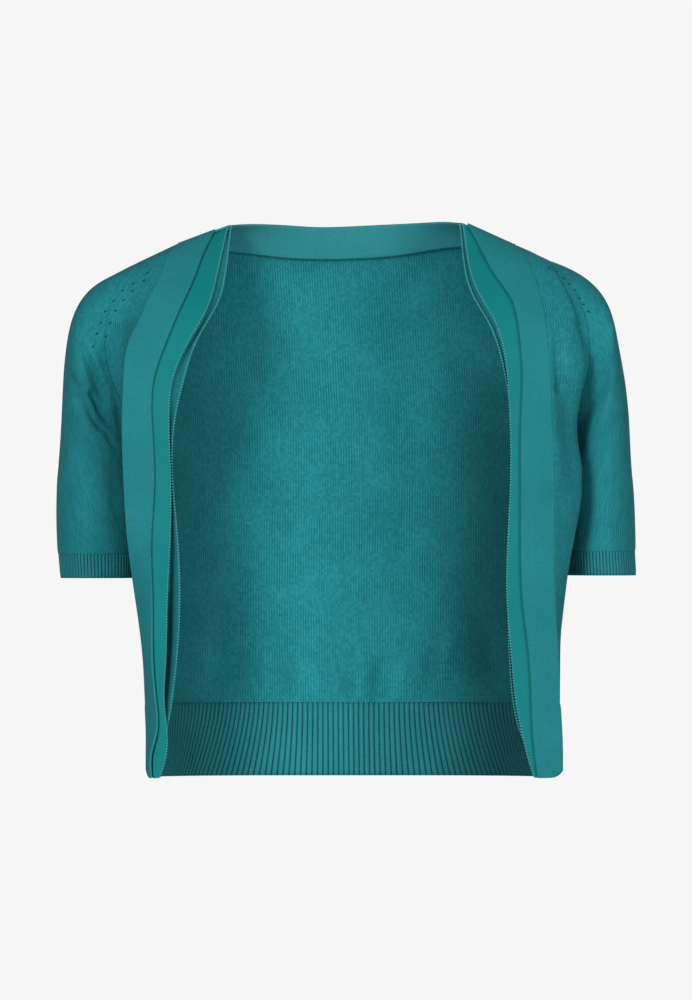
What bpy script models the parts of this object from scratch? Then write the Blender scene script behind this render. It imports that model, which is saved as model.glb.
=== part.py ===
# A short-sleeved, open-fronted bolero in fine knit, filled out as if worn and empty inside.
# Sizes are in millimetres until a piece becomes a mesh, which is in metres.
# +Z is up and the open front faces -Y. Right and left are the wearer's: right lies at -X.
# The origin is level with the neck edge, midway between the two shoulder seams.
import bmesh
import bpy
import numpy as np

MILLIMETRE = 0.001

# Cloth thicknesses, and the clearance between two pieces at a seam
PANEL_WALL = 1.4
BAND_WALL = 1.8
STRIP_WALL = 1.2
RIB_WALL = 1.6
SEAM_GAP = 0.3
LAYER_GAP = 0.7

# Ribbed edges: how far apart the ribs are and how proud they stand
HEM_RIB_PITCH = 3.7
CUFF_RIB_PITCH = 3.3
RIB_HEIGHT = 0.6

# Heights of the body's horizontal seams
HEM_Z = -413.0
RIB_TOP_Z = -358.0
ARMPIT_Z = -152.0

# How the grids are divided
HEM_STEPS = 2
LOWER_STEPS = 8
ARMHOLE_STEPS = 12
FRONT_STEPS = 8
NECK_STEPS = 20
BAND_STEPS = 2
FINE_STEPS = 400
LENGTH_STEPS = 60

# Where a front's side wall starts to flare, and where the flare is widest, in front of the side seam
FLARE_START_Y = -26.0
FLARE_START_SHARE = 0.15
BACK_CORNER = 0.77

# The back neck: how far behind the shoulder seams its seam and its free edge pass
NECK_SEAM_DEPTH = 62.0
NECK_EDGE_DEPTH = 57.0
NECK_SEAM_DROP = 11.5
NECK_DROP_SHAPE = 0.8

# How far the neck's free edge rises above a straight line, at shares of the way from right to left
NECK_RISE_COLUMNS = ("share", "rise")
NECK_RISE = [
    (0.0, 2.6),
    (0.06, 3.6),
    (0.14, 3.8),
    (0.25, 3.0),
    (0.37, 1.7),
    (0.5, 2.0),
    (0.62, 3.0),
    (0.73, 3.9),
    (0.84, 4.8),
    (0.94, 5.1),
    (1.0, 4.0),
]

# The rounded lower front corners: where the rounding starts, how wide it is and how far it lifts
CORNER_COLUMNS = ("start", "width", "lift")
CORNERS = {"right": (-146.0, 4.0, 7.0), "left": (148.0, 13.0, 9.0)}
CORNER_TOP_Z = -385.0
CORNER_SHAPE = 2.5

# The upper back: how round it is, and how far in from the armhole the armhole shapes it
BACK_ROUNDING = 0.65
ARMHOLE_REACH = 0.34
ARMPIT_REACH_SHARE = 0.2
FULL_REACH_HEIGHT = 0.6
ARMHOLE_FULLNESS = 1.5

# The bands: the share of the edge's forward reach that each column of their sheet has, at the
# seam, mid band, the band's edge, the facing's edge and the inner strip's edge
SHEET_FORWARD = (0.0, 0.55, 1.0, 0.95, 0.85)
ROOT_INSET = 3.5
SECOND_ROOT_INSET = 5.0

# Mitred seams, as cosines: the sharpest corner that a panel seam and a band seam may have, and the
# least share of a mitre's direction that lies along a wall's own
PANEL_CORNER = 0.1
BAND_CORNER = -0.6
LEAST_SHARE = 0.45
SMOOTH_ANGLE = 0.8

# Level sections of the body: half widths at the side seam, at the flare, and the back's depth
LEVEL_COLUMNS = ("z", "side_right", "flare_right", "side_left", "flare_left", "back")
LEVELS = [
    (-413.0, -143.0, -147.0, 150.0, 157.0, 80.0),
    (-362.0, -144.0, -147.5, 150.0, 157.5, 80.5),
    (-350.0, -145.0, -148.5, 151.0, 158.5, 83.5),
    (-310.0, -147.0, -150.5, 153.0, 160.0, 86.0),
    (-264.0, -149.0, -153.5, 155.0, 165.0, 88.0),
    (-200.0, -150.0, -157.0, 157.0, 176.0, 89.0),
    (-152.0, -150.0, -158.0, 157.0, 180.0, 89.0),
]
FLARE_Y = {"right": -45.0, "left": -60.0}

# Each front edge from the hem up to the shoulder: the seam with its band, where each of the three
# layers has its free edge, and how far the band's edge stands forward of its seam. Slope is the
# layers' rise per millimetre away from the seam.
BAND_COLUMNS = ("z", "y", "seam", "edge", "facing", "inner", "forward", "slope")
BANDS = {
    "right": [
        (-413.0, -72.0, -150.0, -147.0, -139.5, -137.5, 19.0, 0.0),
        (-394.5, -72.0, -150.0, -147.0, -134.5, -133.5, 19.0, 0.0),
        (-379.0, -73.0, -150.0, -143.0, -134.0, -131.5, 19.0, 0.0),
        (-355.5, -74.0, -151.0, -143.5, -136.0, -129.0, 19.0, 0.0),
        (-325.5, -77.0, -152.5, -146.0, -135.0, -126.0, 17.0, 0.0),
        (-280.5, -81.0, -158.0, -146.0, -134.0, -124.0, 13.0, 0.0),
        (-235.5, -84.0, -164.0, -146.5, -132.0, -125.5, 9.0, 0.0),
        (-190.5, -85.0, -167.0, -144.0, -131.5, -129.0, 5.0, 0.0),
        (-141.0, -85.0, -168.0, -146.0, -133.0, -127.5, 4.0, 0.0),
        (-115.5, -82.0, -167.0, -144.5, -130.5, -122.0, 3.0, 0.0),
        (-89.0, -75.0, -165.5, -136.0, -120.0, -114.0, 3.0, 0.0),
        (-69.0, -65.5, -156.5, -128.0, -109.0, -104.0, 2.5, 0.0),
        (-55.5, -56.5, -149.0, -122.0, -103.0, -97.0, 2.0, 0.0),
        (-37.0, -40.0, -140.0, -114.0, -98.0, -92.0, 1.0, 0.0),
        (-19.5, -20.0, -133.0, -107.0, -94.0, -89.5, 0.5, 0.05),
        (-12.0, 0.0, -125.0, -99.0, -90.0, -88.0, 0.0, 0.28),
    ],
    "left": [
        (-413.0, -78.0, 161.0, 143.0, 139.5, 137.5, 7.0, 0.0),
        (-394.5, -79.0, 161.0, 140.5, 134.0, 133.0, 7.0, 0.0),
        (-379.0, -80.0, 160.5, 139.0, 130.5, 128.0, 6.0, 0.0),
        (-355.5, -81.0, 159.0, 138.0, 126.0, 123.0, 5.0, 0.0),
        (-325.5, -82.0, 158.0, 136.5, 123.0, 120.5, 4.0, 0.0),
        (-280.5, -84.0, 155.5, 131.5, 119.5, 118.5, 4.0, 0.0),
        (-235.5, -85.0, 154.5, 130.0, 120.0, 119.0, 4.0, 0.0),
        (-190.5, -85.0, 155.0, 130.0, 122.0, 121.0, 4.0, 0.0),
        (-141.0, -85.0, 155.5, 130.5, 121.5, 120.5, 4.0, 0.0),
        (-115.5, -82.0, 156.5, 131.5, 120.0, 118.0, 3.0, 0.0),
        (-89.0, -75.0, 154.0, 130.0, 116.5, 112.5, 3.0, 0.0),
        (-69.0, -65.5, 149.5, 127.5, 110.0, 105.0, 2.5, 0.0),
        (-55.5, -56.5, 146.0, 124.0, 102.5, 97.5, 2.0, 0.0),
        (-37.0, -40.0, 140.0, 111.5, 94.0, 90.0, 1.0, 0.0),
        (-19.5, -20.0, 131.0, 101.0, 90.0, 87.0, 0.5, 0.06),
        (-13.0, 0.0, 124.5, 94.0, 87.5, 86.0, 0.0, 0.3),
    ],
}

# Each sleeve from the armhole to the cuff: its outer line, its underarm line, how far the front
# and back of a ring swell outward, and half its depth
RING_COLUMNS = ("top_x", "top_z", "under_x", "under_z", "swell", "depth")
SLEEVES = {
    "right": [
        (-158.0, -28.0, -150.0, -152.0, -27.0, 46.0),
        (-175.5, -37.0, -151.5, -156.0, -27.0, 47.0),
        (-187.5, -44.0, -153.0, -160.0, -26.0, 48.0),
        (-200.0, -59.0, -154.0, -167.0, -21.0, 48.0),
        (-207.0, -78.0, -155.0, -175.0, -16.0, 48.0),
        (-211.5, -104.0, -155.5, -185.0, -11.0, 47.0),
        (-214.5, -138.0, -156.0, -196.0, -7.0, 46.0),
        (-217.0, -179.0, -156.5, -211.0, -4.0, 45.0),
        (-218.0, -220.0, -157.0, -228.0, -2.5, 44.0),
        (-217.0, -246.0, -157.0, -246.0, -2.0, 43.0),
    ],
    "left": [
        (152.0, -26.0, 157.0, -152.0, 27.0, 46.0),
        (168.5, -33.0, 158.0, -156.0, 27.0, 47.0),
        (181.5, -42.0, 159.0, -160.0, 26.0, 48.0),
        (192.0, -56.5, 160.0, -167.0, 21.0, 48.0),
        (199.5, -78.0, 161.0, -175.0, 16.0, 48.0),
        (207.0, -110.0, 161.5, -185.0, 10.0, 47.0),
        (211.5, -140.0, 162.0, -196.0, 7.0, 46.0),
        (214.0, -180.0, 162.5, -211.0, 4.0, 45.0),
        (216.0, -218.0, 163.0, -228.0, 2.5, 44.0),
        (216.5, -244.0, 163.0, -244.0, 2.0, 43.0),
    ],
}

# Each cuff's top and bottom ring, in the sleeve table's columns
CUFFS = {
    "right": [(-216.0, -246.0, -158.0, -246.0, -2.0, 42.0), (-214.5, -264.0, -158.5, -264.0, -2.0, 41.5)],
    "left": [(215.5, -244.0, 164.0, -244.0, 2.0, 42.0), (216.5, -262.0, 165.0, -262.0, 2.0, 41.5)],
}

# The largest soft folds: the line each runs along as seen from the front, and its half width and depth
FOLD_COLUMNS = ("x0", "z0", "x1", "z1", "width", "depth")
FOLDS = {
    "back_panel": [
        (-76.0, -345.0, -68.0, -310.0, 7.0, 1.6),
        (-44.0, -350.0, -40.0, -322.0, 6.0, 1.3),
        (2.0, -348.0, -2.0, -318.0, 6.0, 1.2),
        (24.0, -350.0, 30.0, -316.0, 6.0, 1.5),
        (62.0, -346.0, 78.0, -305.0, 7.0, 1.7),
    ],
    "front_panel_left": [(166.0, -112.0, 163.0, -190.0, 6.0, 2.5)],
    "front_panel_right": [(-172.0, -95.0, -166.0, -140.0, 6.0, 1.5)],
    "sleeve_right": [
        (-204.0, -92.0, -172.0, -140.0, 7.0, 2.6),
        (-202.0, -128.0, -170.0, -152.0, 6.0, 2.4),
        (-206.0, -165.0, -176.0, -168.0, 8.0, 1.6),
    ],
    "sleeve_left": [
        (198.0, -100.0, 184.0, -150.0, 7.0, 2.2),
        (203.0, -150.0, 182.0, -178.0, 7.0, 1.8),
    ],
}

# Colours and finishes of the yarns
KNIT = {"color": (0.017, 0.205, 0.225, 1.0), "roughness": 0.85}
BAND_KNIT = {"color": (0.019, 0.215, 0.235, 1.0), "roughness": 0.8}
SMOOTH_STRIP = {"color": (0.010, 0.215, 0.215, 1.0), "roughness": 0.6}
RIB_KNIT = {"color": (0.015, 0.185, 0.205, 1.0), "roughness": 0.85}


def table(columns, rows):
    # a table as a dictionary of its columns
    values = np.array(rows)
    return {name: values[:, number] for number, name in enumerate(columns)}


def spline(keys, values, at):
    # natural cubic curve through values given at keys, read at other places
    keys = np.asarray(keys, float)
    values = np.asarray(values, float)
    at = np.asarray(at, float)
    count = len(keys)
    gap = np.diff(keys)
    rise = np.diff(values, axis=0).T / gap
    matrix = np.eye(count)
    right_side = np.zeros((count,) + values.shape[1:])
    for i in range(1, count - 1):
        matrix[i, i - 1:i + 2] = gap[i - 1], 2 * (gap[i - 1] + gap[i]), gap[i]
        right_side[i] = 6 * (rise.T[i] - rise.T[i - 1])
    bend = np.linalg.solve(matrix, right_side)
    i = np.clip(np.searchsorted(keys, at, side="right") - 1, 0, count - 2)
    shape = at.shape + (1,) * (values.ndim - 1)
    width = gap[i].reshape(shape)
    low = ((keys[i + 1] - at) / gap[i]).reshape(shape)
    high = 1 - low
    arch = (low ** 3 - low) * bend[i] + (high ** 3 - high) * bend[i + 1]
    return low * values[i] + high * values[i + 1] + arch * width ** 2 / 6


def run_length(points):
    # distance along a line of points, from its first point to each
    steps = np.linalg.norm(np.diff(points, axis=0), axis=1)
    return np.concatenate([[0.0], np.cumsum(steps)])


def unit(vectors):
    return vectors / np.linalg.norm(vectors, axis=-1, keepdims=True)


def seam_line(side):
    # the band seam of one front as a smooth line, with the band table's other columns along it
    band = table(BAND_COLUMNS, BANDS[side])
    path = np.stack([band["seam"], band["y"], band["z"]], axis=1)
    rest = np.stack([band[name] for name in BAND_COLUMNS[3:]], axis=1)
    return run_length(path), np.hstack([path, rest])


def front_rows(side):
    # the rows shared by a front's band and panel: hem rib, lower body, then up to the shoulder
    keys, values = seam_line(side)
    fine = np.linspace(0.0, keys[-1], FINE_STEPS)
    height = spline(keys, values, fine)[:, 2]
    levels = np.concatenate([
        np.linspace(HEM_Z, RIB_TOP_Z, HEM_STEPS + 1)[:-1],
        np.linspace(RIB_TOP_Z, ARMPIT_Z, LOWER_STEPS + 1)])
    lower = np.interp(levels, height, fine)
    upper = np.linspace(lower[-1], keys[-1], ARMHOLE_STEPS + 1)[1:]
    rows = spline(keys, values, np.concatenate([lower, upper]))
    rows[:len(levels), 2] = levels
    return rows


def section(level, part, steps):
    # a stretch of the body's level section, one smooth line through eleven named points
    body = table(LEVEL_COLUMNS, LEVELS)
    here = {name: spline(body["z"], body[name], level) for name in LEVEL_COLUMNS}
    points = []
    for side in ("right", "left"):
        keys, values = seam_line(side)
        fine = spline(keys, values, np.linspace(0.0, keys[-1], FINE_STEPS))
        seam_x = np.interp(level, fine[:, 2], fine[:, 0])
        seam_y = np.interp(level, fine[:, 2], fine[:, 1])
        edge_x = here["side_" + side]
        flare_x = here["flare_" + side]
        start_x = edge_x + FLARE_START_SHARE * (flare_x - edge_x)
        front = [(seam_x, seam_y), (flare_x, FLARE_Y[side]), (start_x, FLARE_START_Y), (edge_x, 0.0)]
        points.append(front)
    middle = (here["side_right"] + here["side_left"]) / 2
    half = (here["side_left"] - here["side_right"]) / 2
    corner_y = BACK_CORNER * here["back"]
    back = [(middle - BACK_CORNER * half, corner_y), (middle, here["back"]),
            (middle + BACK_CORNER * half, corner_y)]
    outline = np.array(points[0] + back + points[1][::-1])
    keys = run_length(outline)
    first, last = {"right": (0, 3), "back": (3, 7), "left": (7, 10)}[part]
    flat = spline(keys, outline, np.linspace(keys[first], keys[last], steps + 1))
    return np.column_stack([flat, np.full(steps + 1, float(level))])


def ring(row, angles):
    # one ring of a sleeve: an ellipse from its outer to its underarm line, swollen front and back
    place = dict(zip(RING_COLUMNS, row))
    turn = np.cos(angles)
    swell = np.abs(np.sin(angles)) ** ARMHOLE_FULLNESS
    middle_x = (place["top_x"] + place["under_x"]) / 2
    middle_z = (place["top_z"] + place["under_z"]) / 2
    x = middle_x + (place["top_x"] - place["under_x"]) / 2 * turn + place["swell"] * swell
    y = -place["depth"] * np.sin(angles)
    z = middle_z + (place["top_z"] - place["under_z"]) / 2 * turn
    return np.stack([x, y, z], axis=-1)


def front_points(side):
    # a front panel's grid from the rib seam to the shoulder seam, from its band to its side
    rows = front_rows(side)[HEM_STEPS:]
    lower = []
    for row in rows[:LOWER_STEPS + 1]:
        line = section(row[2], side, FRONT_STEPS)
        lower.append(line if side == "right" else line[::-1])
    seam = rows[LOWER_STEPS:, :3]
    angles = np.linspace(np.pi, 0.0, ARMHOLE_STEPS + 1)
    armhole = ring(SLEEVES[side][0], angles)
    share = np.linspace(0.0, 1.0, FRONT_STEPS + 1)[None, :, None]
    height = np.linspace(0.0, 1.0, ARMHOLE_STEPS + 1)[:, None, None]
    bottom = lower[-1][None]
    shoulder = seam[-1] + share * (armhole[-1] - seam[-1])
    across = seam[:, None] + share * (armhole - seam)[:, None]
    upward = bottom + height * (shoulder - bottom)
    corners = (1 - height) * (seam[0] + share * (armhole[0] - seam[0])) + height * shoulder
    upper = across + upward - corners
    return np.concatenate([np.array(lower), upper[1:]])


def neck_lines():
    # the back neck's seam and free edge, from the right shoulder seam round to the left
    right = front_rows("right")[-1]
    left = front_rows("left")[-1]
    turn = np.linspace(0.0, np.pi, NECK_STEPS + 1)
    share = (1 - np.cos(turn)) / 2
    bow = np.sin(turn)
    seam_x = right[0] + share * (left[0] - right[0])
    seam_z = right[2] + share * (left[2] - right[2]) - NECK_SEAM_DROP * bow ** NECK_DROP_SHAPE
    edge_x = right[5] + share * (left[5] - right[5])
    end_z = [row[2] + row[7] * abs(row[5] - row[0]) for row in (right, left)]
    rise = table(NECK_RISE_COLUMNS, NECK_RISE)
    edge_z = end_z[0] + share * (end_z[1] - end_z[0]) + spline(rise["share"], rise["rise"], share)
    seam = np.stack([seam_x, NECK_SEAM_DEPTH * bow, seam_z], axis=1)
    edge = np.stack([edge_x, NECK_EDGE_DEPTH * bow, edge_z], axis=1)
    return seam, edge


def back_points():
    # the back panel's grid from the rib seam up to the shoulder seams and the neck seam
    steps = 2 * FRONT_STEPS + NECK_STEPS
    levels = np.linspace(RIB_TOP_Z, ARMPIT_Z, LOWER_STEPS + 1)
    lower = np.array([section(level, "back", steps) for level in levels])
    angles = np.linspace(-np.pi, 0.0, ARMHOLE_STEPS + 1)
    right_hole = ring(SLEEVES["right"][0], angles)
    left_hole = ring(SLEEVES["left"][0], angles)
    neck = neck_lines()[0]
    share = np.linspace(0.0, 1.0, FRONT_STEPS + 1)[:, None]
    right_shoulder = right_hole[-1] + share * (neck[0] - right_hole[-1])
    left_shoulder = neck[-1] + share * (left_hole[-1] - neck[-1])
    top = np.concatenate([right_shoulder[:-1], neck, left_shoulder[1:]])
    height = ((1 + np.cos(angles)) / 2)[:, None, None]
    grid = lower[-1] + height * (top - lower[-1])
    fullness = (1 - height ** 2).clip(0) ** BACK_ROUNDING
    grid[..., 1:2] = top[:, 1:2] + fullness * (lower[-1][:, 1:2] - top[:, 1:2])
    across = np.linspace(0.0, 1.0, steps + 1)[None, :, None]
    climb = (height / FULL_REACH_HEIGHT).clip(0, 1)
    widening = climb * climb * (3 - 2 * climb)
    reach = ARMHOLE_REACH * (ARMPIT_REACH_SHARE + (1 - ARMPIT_REACH_SHARE) * widening)
    near_right = (1 - across / reach).clip(0) ** 2
    near_left = (1 - (1 - across) / reach).clip(0) ** 2
    upper = grid + near_right * (right_hole[:, None] - grid[:, :1])
    upper = upper + near_left * (left_hole[:, None] - grid[:, -1:])
    return np.concatenate([lower, upper[1:]])


def rounded_corner(points, side):
    # a front piece's points with the lower corner lifted in a curve towards its band seam
    corner = dict(zip(CORNER_COLUMNS, CORNERS[side]))
    low = ((CORNER_TOP_Z - points[..., 2]) / (CORNER_TOP_Z - HEM_Z)).clip(0, 1)
    share = ((np.abs(points[..., 0]) - abs(corner["start"])) / corner["width"]).clip(0, 1)
    points[..., 2] += corner["lift"] * share ** CORNER_SHAPE * low
    return points


def sheet_points(side):
    # the one sheet that a front edge's three layers lie on, with a column at each free edge
    rows = front_rows(side)
    middle = (rows[:, 0] + rows[:, 3]) / 2
    x = np.stack([rows[:, 0], middle, rows[:, 3], rows[:, 4], rows[:, 5]], axis=1)
    y = rows[:, 1, None] - np.array(SHEET_FORWARD) * rows[:, 6, None]
    z = rows[:, 2, None] + rows[:, 7, None] * np.abs(x - rows[:, 0, None])
    return rounded_corner(np.stack([x, y, z], axis=-1), side)


def outward(points, closed=False, sign=1.0):
    # outward directions on a grid whose rows go up and whose columns go from right to left
    up = np.gradient(points, axis=0)
    if closed:
        along = np.roll(points, -1, axis=1) - np.roll(points, 1, axis=1)
    else:
        along = np.gradient(points, axis=1)
    return sign * unit(np.cross(up, along))


def square_to(direction, axis):
    # thickness directions for an edge that is cut square to an axis
    flat = direction.copy()
    flat[..., axis] = 0.0
    flat = unit(flat)
    return flat / np.sum(flat * direction, axis=-1, keepdims=True).clip(LEAST_SHARE)


def mitred(first, second, corner=PANEL_CORNER):
    # shared thickness directions where two pieces meet at an angle, unless they fold right back
    open_seam = np.sum(first * second, axis=-1, keepdims=True) > corner
    shared = unit(first + second + 1e-6)
    results = []
    for own in (first, second):
        along = np.sum(shared * own, axis=-1, keepdims=True).clip(LEAST_SHARE)
        results.append(np.where(open_seam, shared / along, own))
    return results


def draw_back(points, axis, end):
    # an edge row or column moved half the seam gap into its own piece
    edge = [slice(None), slice(None)]
    inside = [slice(None), slice(None)]
    edge[axis] = 0 if end == "first" else -1
    inside[axis] = 1 if end == "first" else -2
    edge, inside = tuple(edge), tuple(inside)
    points[edge] += SEAM_GAP / 2 * unit(points[inside] - points[edge])


def folded(name, points, direction, closed=False):
    # soft troughs pressed into a piece along the lines of the fold table, fading out at its seams
    away = np.zeros(points.shape[:2])
    for row in FOLDS[name]:
        fold = dict(zip(FOLD_COLUMNS, row))
        start = np.array([fold["x0"], fold["z0"]])
        run = np.array([fold["x1"], fold["z1"]]) - start
        offset = points[..., [0, 2]] - start
        share = (offset @ run / (run @ run)).clip(0.0, 1.0)
        distance = np.linalg.norm(offset - share[..., None] * run, axis=-1)
        away -= np.exp(-(distance / fold["width"]) ** 2) * fold["depth"]
    away[[0, -1]] = 0.0
    if not closed:
        away[:, [0, -1]] = 0.0
    return points + away[..., None] * direction


def clean_collection(name):
    group = bpy.data.collections.get(name) or bpy.data.collections.new(name)
    if name not in bpy.context.scene.collection.children:
        bpy.context.scene.collection.children.link(group)
    return group


def finish_material(name, finish):
    material = bpy.data.materials.new(name)
    material.use_nodes = True
    shader = material.node_tree.nodes["Principled BSDF"]
    shader.inputs["Base Color"].default_value = finish["color"]
    shader.inputs["Roughness"].default_value = finish["roughness"]
    shader.inputs["Metallic"].default_value = 0.0
    return material


def add_piece(name, points, faces, finish):
    # a closed solid from points in millimetres, its faces turned outward
    mesh = bpy.data.meshes.new(name)
    mesh.from_pydata((points * MILLIMETRE).tolist(), [], faces)
    mesh.validate()
    form = bmesh.new()
    form.from_mesh(mesh)
    if form.calc_volume(signed=True) < 0:
        bmesh.ops.reverse_faces(form, faces=form.faces)
    form.to_mesh(mesh)
    form.free()
    mesh.shade_smooth()
    mesh.set_sharp_from_angle(angle=SMOOTH_ANGLE)
    mesh.materials.append(finish_material(name, finish))
    piece = bpy.data.objects.new(name, mesh)
    clean_collection("bolero_jacket").objects.link(piece)
    return piece


def wall_piece(name, outer, direction, thickness, finish, closed=False):
    # a cloth wall: its outer grid, the same grid moved in by its thickness, and the rims between
    rows, columns = outer.shape[:2]
    inner = outer - direction * thickness
    count = rows * columns
    faces = []
    spans = columns if closed else columns - 1
    for i in range(rows - 1):
        for j in range(spans):
            k = (j + 1) % columns
            low, high = i * columns, (i + 1) * columns
            for corners in ((low + j, low + k, high + k), (low + j, high + k, high + j)):
                faces.append(list(corners))
                faces.append([corner + count for corner in reversed(corners)])
    for i, turn in ((0, 1), (rows - 1, -1)):
        for j in range(spans):
            k = (j + 1) % columns
            rim = [i * columns + k, i * columns + j, i * columns + j + count, i * columns + k + count]
            faces.append(rim[::turn])
    if not closed:
        for j, turn in ((0, 1), (columns - 1, -1)):
            for i in range(rows - 1):
                low, high = i * columns + j, (i + 1) * columns + j
                faces.append([low, high, high + count, low + count][::turn])
    points = np.concatenate([outer.reshape(-1, 3), inner.reshape(-1, 3)])
    return add_piece(name, points, faces, finish)


def rib_piece(name, outer, direction, finish, closed=False):
    # a ribbed wall: every second outer column stands proud, over a plain inside with half as many
    rows, columns = outer.shape[:2]
    ribbed = outer.copy()
    ribbed[:, 1::2] += RIB_HEIGHT * direction[:, 1::2]
    inner = outer[:, ::2] - RIB_WALL * direction[:, ::2]
    half = inner.shape[1]
    count = rows * columns
    spans = columns if closed else columns - 1
    ribs = spans // 2
    faces = []
    for i in range(rows - 1):
        for j in range(spans):
            k = (j + 1) % columns
            faces.append([i * columns + j, i * columns + k, (i + 1) * columns + k, (i + 1) * columns + j])
        for j in range(ribs):
            k = (j + 1) % half
            low, high = count + i * half, count + (i + 1) * half
            faces.append([low + k, low + j, high + j, high + k])
    for i, turn in ((0, 1), (rows - 1, -1)):
        for j in range(ribs):
            left, peak, right = 2 * j, 2 * j + 1, (2 * j + 2) % columns
            near, far = count + i * half + j, count + i * half + (j + 1) % half
            base = i * columns
            for corners in ((base + peak, base + left, near), (base + right, base + peak, far),
                            (base + peak, near, far)):
                faces.append(list(corners)[::turn])
    if not closed:
        for j, k, turn in ((0, 0, 1), (columns - 1, half - 1, -1)):
            for i in range(rows - 1):
                faces.append([i * columns + j, (i + 1) * columns + j,
                              count + (i + 1) * half + k, count + i * half + k][::turn])
    points = np.concatenate([ribbed.reshape(-1, 3), inner.reshape(-1, 3)])
    return add_piece(name, points, faces, finish)


def even_columns(length, pitch):
    # an even number of steps, two for each rib
    return 2 * int(round(length / pitch))


def hem_rib(name, part, band_seam=None):
    # a stretch of the hem's rib, from a level just under the panel's seam to the hem
    levels = np.linspace(HEM_Z, RIB_TOP_Z - SEAM_GAP, HEM_STEPS + 1)
    length = run_length(section(HEM_Z, part, LENGTH_STEPS))[-1]
    steps = even_columns(length, HEM_RIB_PITCH)
    points = np.array([section(level, part, steps) for level in levels])
    direction = square_to(outward(points), 2)
    if part != "back":
        points = rounded_corner(points, part)
    for end in ("first", "last"):
        draw_back(points, 1, end)
    direction[:, -1] = band_seam if part == "left" else square_to(direction[:, -1], 1)
    direction[:, 0] = band_seam if part == "right" else square_to(direction[:, 0], 1)
    return rib_piece(name, points, direction, RIB_KNIT)


def build_body():
    # the back, both fronts, their bands and the neck band, with their shared seams mitred
    back = back_points()
    back_out = outward(back)
    back = folded("back_panel", back, back_out)
    seam, edge = neck_lines()
    share = np.linspace(0.0, 1.0, BAND_STEPS + 1)[:, None, None]
    neck = seam + share * (edge - seam)
    neck_out = outward(neck)
    middle = slice(FRONT_STEPS, FRONT_STEPS + NECK_STEPS + 1)
    back_out[-1, middle], neck_out[0] = mitred(back_out[-1, middle], neck_out[0])
    for end in (0, -1):
        neck_out[:, end] = square_to(neck_out[:, end], 1)
        back_out[:LOWER_STEPS + 1, end] = square_to(back_out[:LOWER_STEPS + 1, end], 1)
    shoulders = [slice(0, FRONT_STEPS + 1), slice(FRONT_STEPS + NECK_STEPS, None)]
    for shoulder in shoulders:
        back_out[-1, shoulder] = square_to(back_out[-1, shoulder], 1)
    back_out[0] = square_to(back_out[0], 2)

    for side in ("right", "left"):
        front = front_points(side)
        sheet = sheet_points(side)
        sleeve = np.array([ring(row, np.linspace(0.0, 2 * np.pi, 2 * ARMHOLE_STEPS, endpoint=False))
                           for row in SLEEVES[side]])
        sign = 1.0 if side == "right" else -1.0
        front_out = outward(front, sign=sign)
        sheet_out = outward(sheet, sign=-sign)
        band, band_out = sheet[:, :3].copy(), sheet_out[:, :3].copy()
        sleeve_out = outward(sleeve, closed=True, sign=sign)
        front = folded("front_panel_" + side, front, front_out)
        sleeve = folded("sleeve_" + side, sleeve, sleeve_out, closed=True)

        seam_out = mitred(front_out[:, 0], band_out[HEM_STEPS:, 0], BAND_CORNER)
        front_out[:, 0], band_out[HEM_STEPS:, 0] = seam_out
        band_out[:HEM_STEPS, 0] = band_out[HEM_STEPS, 0]
        order = np.arange(ARMHOLE_STEPS, -1, -1)
        hole = front_out[LOWER_STEPS:, -1].copy()
        front_out[LOWER_STEPS:, -1], sleeve_out[0, order] = mitred(hole, sleeve_out[0, order])
        behind = np.arange(ARMHOLE_STEPS, 2 * ARMHOLE_STEPS + 1) % (2 * ARMHOLE_STEPS)
        column = 0 if side == "right" else -1
        hole = back_out[LOWER_STEPS:, column].copy()
        back_out[LOWER_STEPS:, column], sleeve_out[0, behind] = mitred(hole, unit(sleeve_out[0, behind]))
        front_out[:LOWER_STEPS + 1, -1] = square_to(front_out[:LOWER_STEPS + 1, -1], 1)
        front_out[-1] = square_to(front_out[-1], 1)
        front_out[0] = square_to(front_out[0], 2)
        band_out[-1] = square_to(band_out[-1], 1)
        sleeve_out[-1] = square_to(sleeve_out[-1], 2)

        for grid, axis, end in ((front, 1, "first"), (front, 1, "last"), (front, 0, "last"),
                                (band, 1, "first"), (band, 0, "last"), (sleeve, 0, "first")):
            draw_back(grid, axis, end)
        wall_piece("front_panel_" + side, front, front_out, PANEL_WALL, KNIT)
        wall_piece("front_band_" + side, band, band_out, BAND_WALL, BAND_KNIT)
        wall_piece("sleeve_" + side, sleeve, sleeve_out, PANEL_WALL, KNIT, closed=True)
        build_layers(side, sheet, sheet_out)
        build_cuff(side, sign)
        hem_rib("front_hem_rib_" + side, side, front_out[0, 0])

    for axis, end in ((1, "first"), (1, "last"), (0, "last")):
        draw_back(back, axis, end)
    for axis, end in ((0, "first"), (1, "first"), (1, "last")):
        draw_back(neck, axis, end)
    wall_piece("back_panel", back, back_out, PANEL_WALL, KNIT)
    wall_piece("neck_band", neck, neck_out, BAND_WALL, BAND_KNIT)
    hem_rib("back_hem_rib", "back")


def build_layers(side, sheet, sheet_out):
    # the smooth facing and the innermost strip, each from the band's sheet, moved in behind it
    direction = sheet_out.copy()
    direction[-1] = square_to(direction[-1], 1)
    depth = BAND_WALL + LAYER_GAP
    for name, columns, inset, finish in (("band_facing_", 4, ROOT_INSET, SMOOTH_STRIP),
                                         ("inner_band_", 5, SECOND_ROOT_INSET, BAND_KNIT)):
        strip = sheet[:, :columns].copy()
        strip[:, 0] += inset * unit(strip[:, 1] - strip[:, 0])
        draw_back(strip, 0, "last")
        towards = direction[:, :columns]
        wall_piece(name + side, strip - depth * towards, towards, STRIP_WALL, finish)
        depth += STRIP_WALL + LAYER_GAP


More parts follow.
